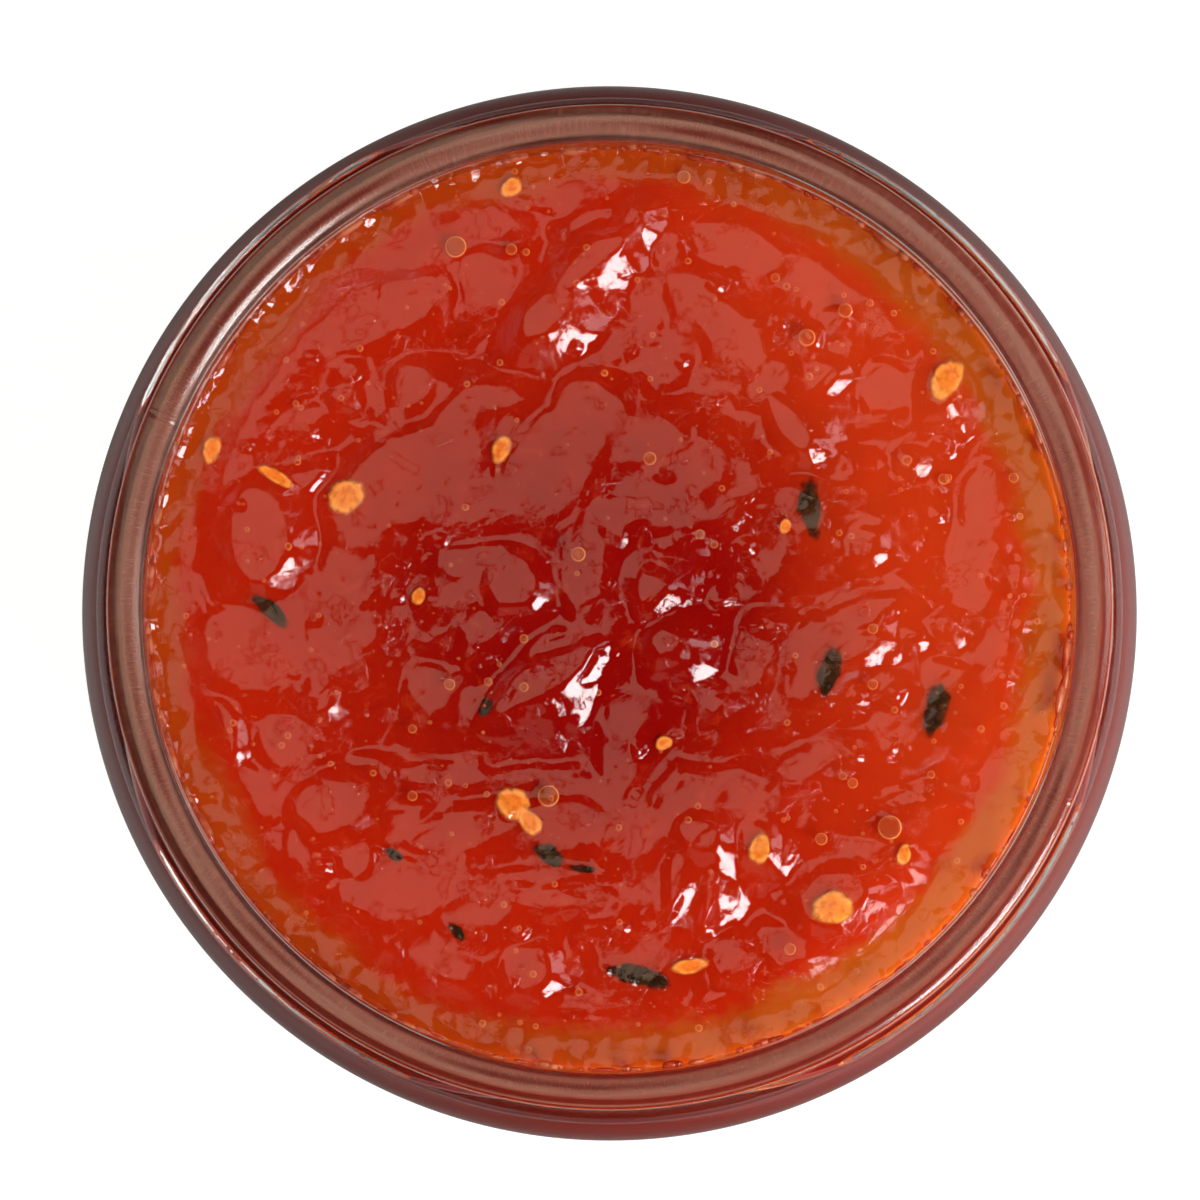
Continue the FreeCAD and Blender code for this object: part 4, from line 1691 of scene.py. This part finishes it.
SEEDS = (
    # x, y, turn, length, width
    (-18.5, 7.9, 20, 1.30, 1.15),
    (-6.8, -13.6, 100, 1.15, 1.10),
    (-5.6, -14.9, -60, 1.00, 0.70),
    (15.6, -20.9, 15, 1.45, 1.15),
    (23.6, 16.1, 58, 1.60, 0.95),
    (-13.4, 0.9, 60, 0.60, 0.45),
    (-23.4, 9.3, -30, 1.30, 0.45),
    (-27.9, 11.2, 80, 1.00, 0.60),
    (-6.9, 29.6, 30, 0.80, 0.60),
    (-7.6, 11.2, 70, 1.00, 0.60),
    (5.6, -25.0, 8, 1.30, 0.50),
    (10.5, -16.8, 80, 1.10, 0.70),
    (12.3, 5.8, 60, 0.50, 0.40),
    (3.8, -9.4, 30, 0.60, 0.45),
    (20.6, -17.2, 80, 0.70, 0.50),
)

LEAVES = (
    # x, y, turn, length, width, under
    (15.4, -4.5, 79, 4.0, 1.0, 0.03),
    (22.8, -7.1, 80, 4.3, 1.2, 0.12),
    (-4.3, -17.2, -30, 2.7, 0.9, 0.12),
    (-1.9, -18.2, -4, 2.2, 0.35, 0.12),
    (1.9, -25.7, -11, 5.2, 1.0, 0.16),
    (-23.8, -0.1, -43, 3.6, 0.8, 0.14),
    (14.1, 7.0, 96, 4.8, 1.1, 0.20),
    (-10.7, -22.6, -48, 1.9, 0.5, 0.14),
    (-15.1, -17.2, -30, 1.5, 0.5, 0.10),
    (-8.7, -6.9, 70, 1.6, 0.6, 0.20),
)

RINGS = (
    # x, y, radius of the larger bubbles
    (-4.3, -13.1, 0.75),
    (-10.8, 25.4, 0.75),
    (-2.2, 3.8, 0.50),
    (2.8, 10.5, 0.45),
    (6.3, 5.2, 0.32),
    (-6.0, -5.5, 0.32),
    (-11.2, -5.3, 0.38),
    (-8.5, -5.1, 0.28),
    (-6.0, -2.1, 0.30),
    (-13.8, -8.4, 0.30),
    (-6.9, 25.2, 0.40),
    (-13.8, -13.1, 0.34),
    (19.6, -15.3, 0.85),
    (13.8, 19.0, 0.60),
    (16.5, 20.9, 0.50),
    (17.0, -12.2, 0.36),
    (16.3, -11.7, 0.26),
    (22.5, -11.6, 0.26),
    (23.4, 9.1, 0.38),
    (20.8, 10.4, 0.34),
    (5.2, 30.3, 0.45),
    (28.3, 9.2, 0.34),
    (14.8, -16.1, 0.42),
    (12.6, -23.8, 0.40),
    (7.3, 4.5, 0.26),
    (18.4, -1.4, 0.36),
    (18.4, -5.3, 0.36),
    (11.6, 23.2, 0.30),
    (12.4, 22.6, 0.24),
    (26.0, -8.4, 0.24),
    (27.6, -6.8, 0.24),
)


# ------------------------------------------------------------
# Studio
# ------------------------------------------------------------


def linked(name: str, data: bpy.types.ID) -> bpy.types.Object:
    """A new object of a lamp or camera in the scene.

    Args:
        name: the object's name.
        data: the lamp or camera.

    Returns:
        The new object.
    """
    thing = bpy.data.objects.new(name, data)
    bpy.context.collection.objects.link(thing)
    return thing


@dataclass(frozen=True)
class Softbox:
    """A rectangular lamp that faces a point. Metres; glow is its radiance."""

    name: str
    at: tuple[float, float, float]
    size: Point
    glow: float
    colour: Colour
    target: tuple[float, float, float]
    turn_deg: float = 0.0

    def build(self) -> None:
        """Adds the lamp."""
        data = bpy.data.lights.new(self.name, "AREA")
        data.shape = "RECTANGLE"
        data.size, data.size_y = self.size
        data.energy = 4 * self.glow * self.size[0] * self.size[1]
        data.color = self.colour
        lamp = linked(self.name, data)
        lamp.location = self.at
        aim = Vector(self.target) - Vector(self.at)
        turned = Quaternion((0, 0, 1), math.radians(self.turn_deg))
        lamp.rotation_euler = (turned @ aim.to_track_quat("-Z", "Y")).to_euler()


@dataclass
class Studio:
    """Plain soft light, a white floor and the camera straight above the jar."""

    rim: float
    distance: float = 0.55
    lean_deg: float = 1.2
    pan: Point = (-0.68 * MM, 0.46 * MM)
    lens: float = 239.0
    panel_height: float = 0.88
    panel_at: Point = (-0.287, 0.293)
    panel_turn_deg: float = -45.6
    horizon: float = 0.12
    right: float = 2.5
    left: float = 1.0
    overhead: float = 0.04
    overhead_from: float = 0.32
    floor_size: float = 6.0
    warm: Colour = (1.0, 0.92, 0.68)
    cool: Colour = (1.0, 1.0, 1.0)
    floor: StudioFloor = field(default_factory=StudioFloor)

    def build_camera(self) -> None:
        """Adds the camera."""
        data = bpy.data.cameras.new("camera")
        data.lens = self.lens
        data.clip_start = 0.01
        camera = linked("camera", data)
        lean = math.radians(self.lean_deg)
        back, up = self.distance * math.sin(lean), self.distance * math.cos(lean)
        camera.location = Vector((*self.pan, 0)) + Vector((0, -back, self.rim + up))
        camera.rotation_euler = (lean, 0, 0)
        bpy.context.scene.camera = camera

    def build_lamps(self) -> None:
        """Adds a large overhead panel beside the camera and a strong softbox low at the right."""
        x, y = self.panel_at
        over, jam = (x, y, self.panel_height), (0, 0, 0.08)
        panels = (
            Softbox("main_panel", over, (0.94, 0.52), 1.15, self.warm, (x, y, 0), self.panel_turn_deg),
            Softbox("corner_softbox", (0.504, -0.423, 0.694), (0.30, 0.31), 20.5, self.cool, jam),
            Softbox("right_panel", (0.66, 0.03, 0.70), (0.20, 0.42), 3.0, self.cool, jam),
            Softbox("front_panel", (-0.05, -0.62, 0.70), (0.5, 0.25), 0.45, self.warm, jam),
        )
        for panel in panels:
            panel.build()

    def build_world(self) -> None:
        """A room that is dim overhead, light at its right and left, and looks white to the eye."""
        shader = Shader(bpy.data.worlds.new("room"))
        x, _, z = shader.parts(shader.node("ShaderNodeTexCoord", output="Generated"))
        turn = shader.node("ShaderNodeMapRange", {}, {"Value": x, "From Min": -1.0})
        glows = ((0.02, self.left), (0.3, self.horizon), (0.78, self.horizon), (0.99, self.right))
        stops = [(place, (glow, glow, glow)) for place, glow in glows]
        side = shader.node("ShaderNodeValToRGB", {"stops": stops}, {0: turn})
        span = {"From Min": 0.0, "From Max": self.overhead_from, "To Min": side, "To Max": self.overhead}
        level = shader.node("ShaderNodeMapRange", {}, {"Value": z, **span})
        seen = shader.node("ShaderNodeMix", {}, {"Factor": shader.ray("Is Camera Ray"), "A": level, "B": 1.0})
        light = {"Color": (1.0, 1.0, 1.0), "Strength": seen}
        bpy.context.scene.world = shader.finish(shader.node("ShaderNodeBackground", {}, light))

    def build_floor(self) -> None:
        """Adds the floor."""
        deselect()
        bpy.ops.mesh.primitive_plane_add(size=self.floor_size, location=(0, 0, 0))
        floor = bpy.context.object
        floor.name = "floor"
        floor.data.materials.append(self.floor.material())
        floor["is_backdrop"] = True

    def build(self) -> None:
        """Builds the studio."""
        self.build_camera()
        self.build_lamps()
        self.build_world()
        self.build_floor()


def main() -> None:
    """Builds the jar, the jam and the studio on the CAD frame."""
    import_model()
    cad_box = [[float(value) for value in corner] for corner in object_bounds()]
    rim = cad_box[1][2]
    bpy.context.scene.view_settings.view_transform = "Standard"
    jar = GlassJar(height=rim / MM)
    jar.build()
    Jam(jar, level=jar.height - HEADSPACE).build()
    Studio(rim).build()
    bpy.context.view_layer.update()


if __name__ == "__main__":
    main()
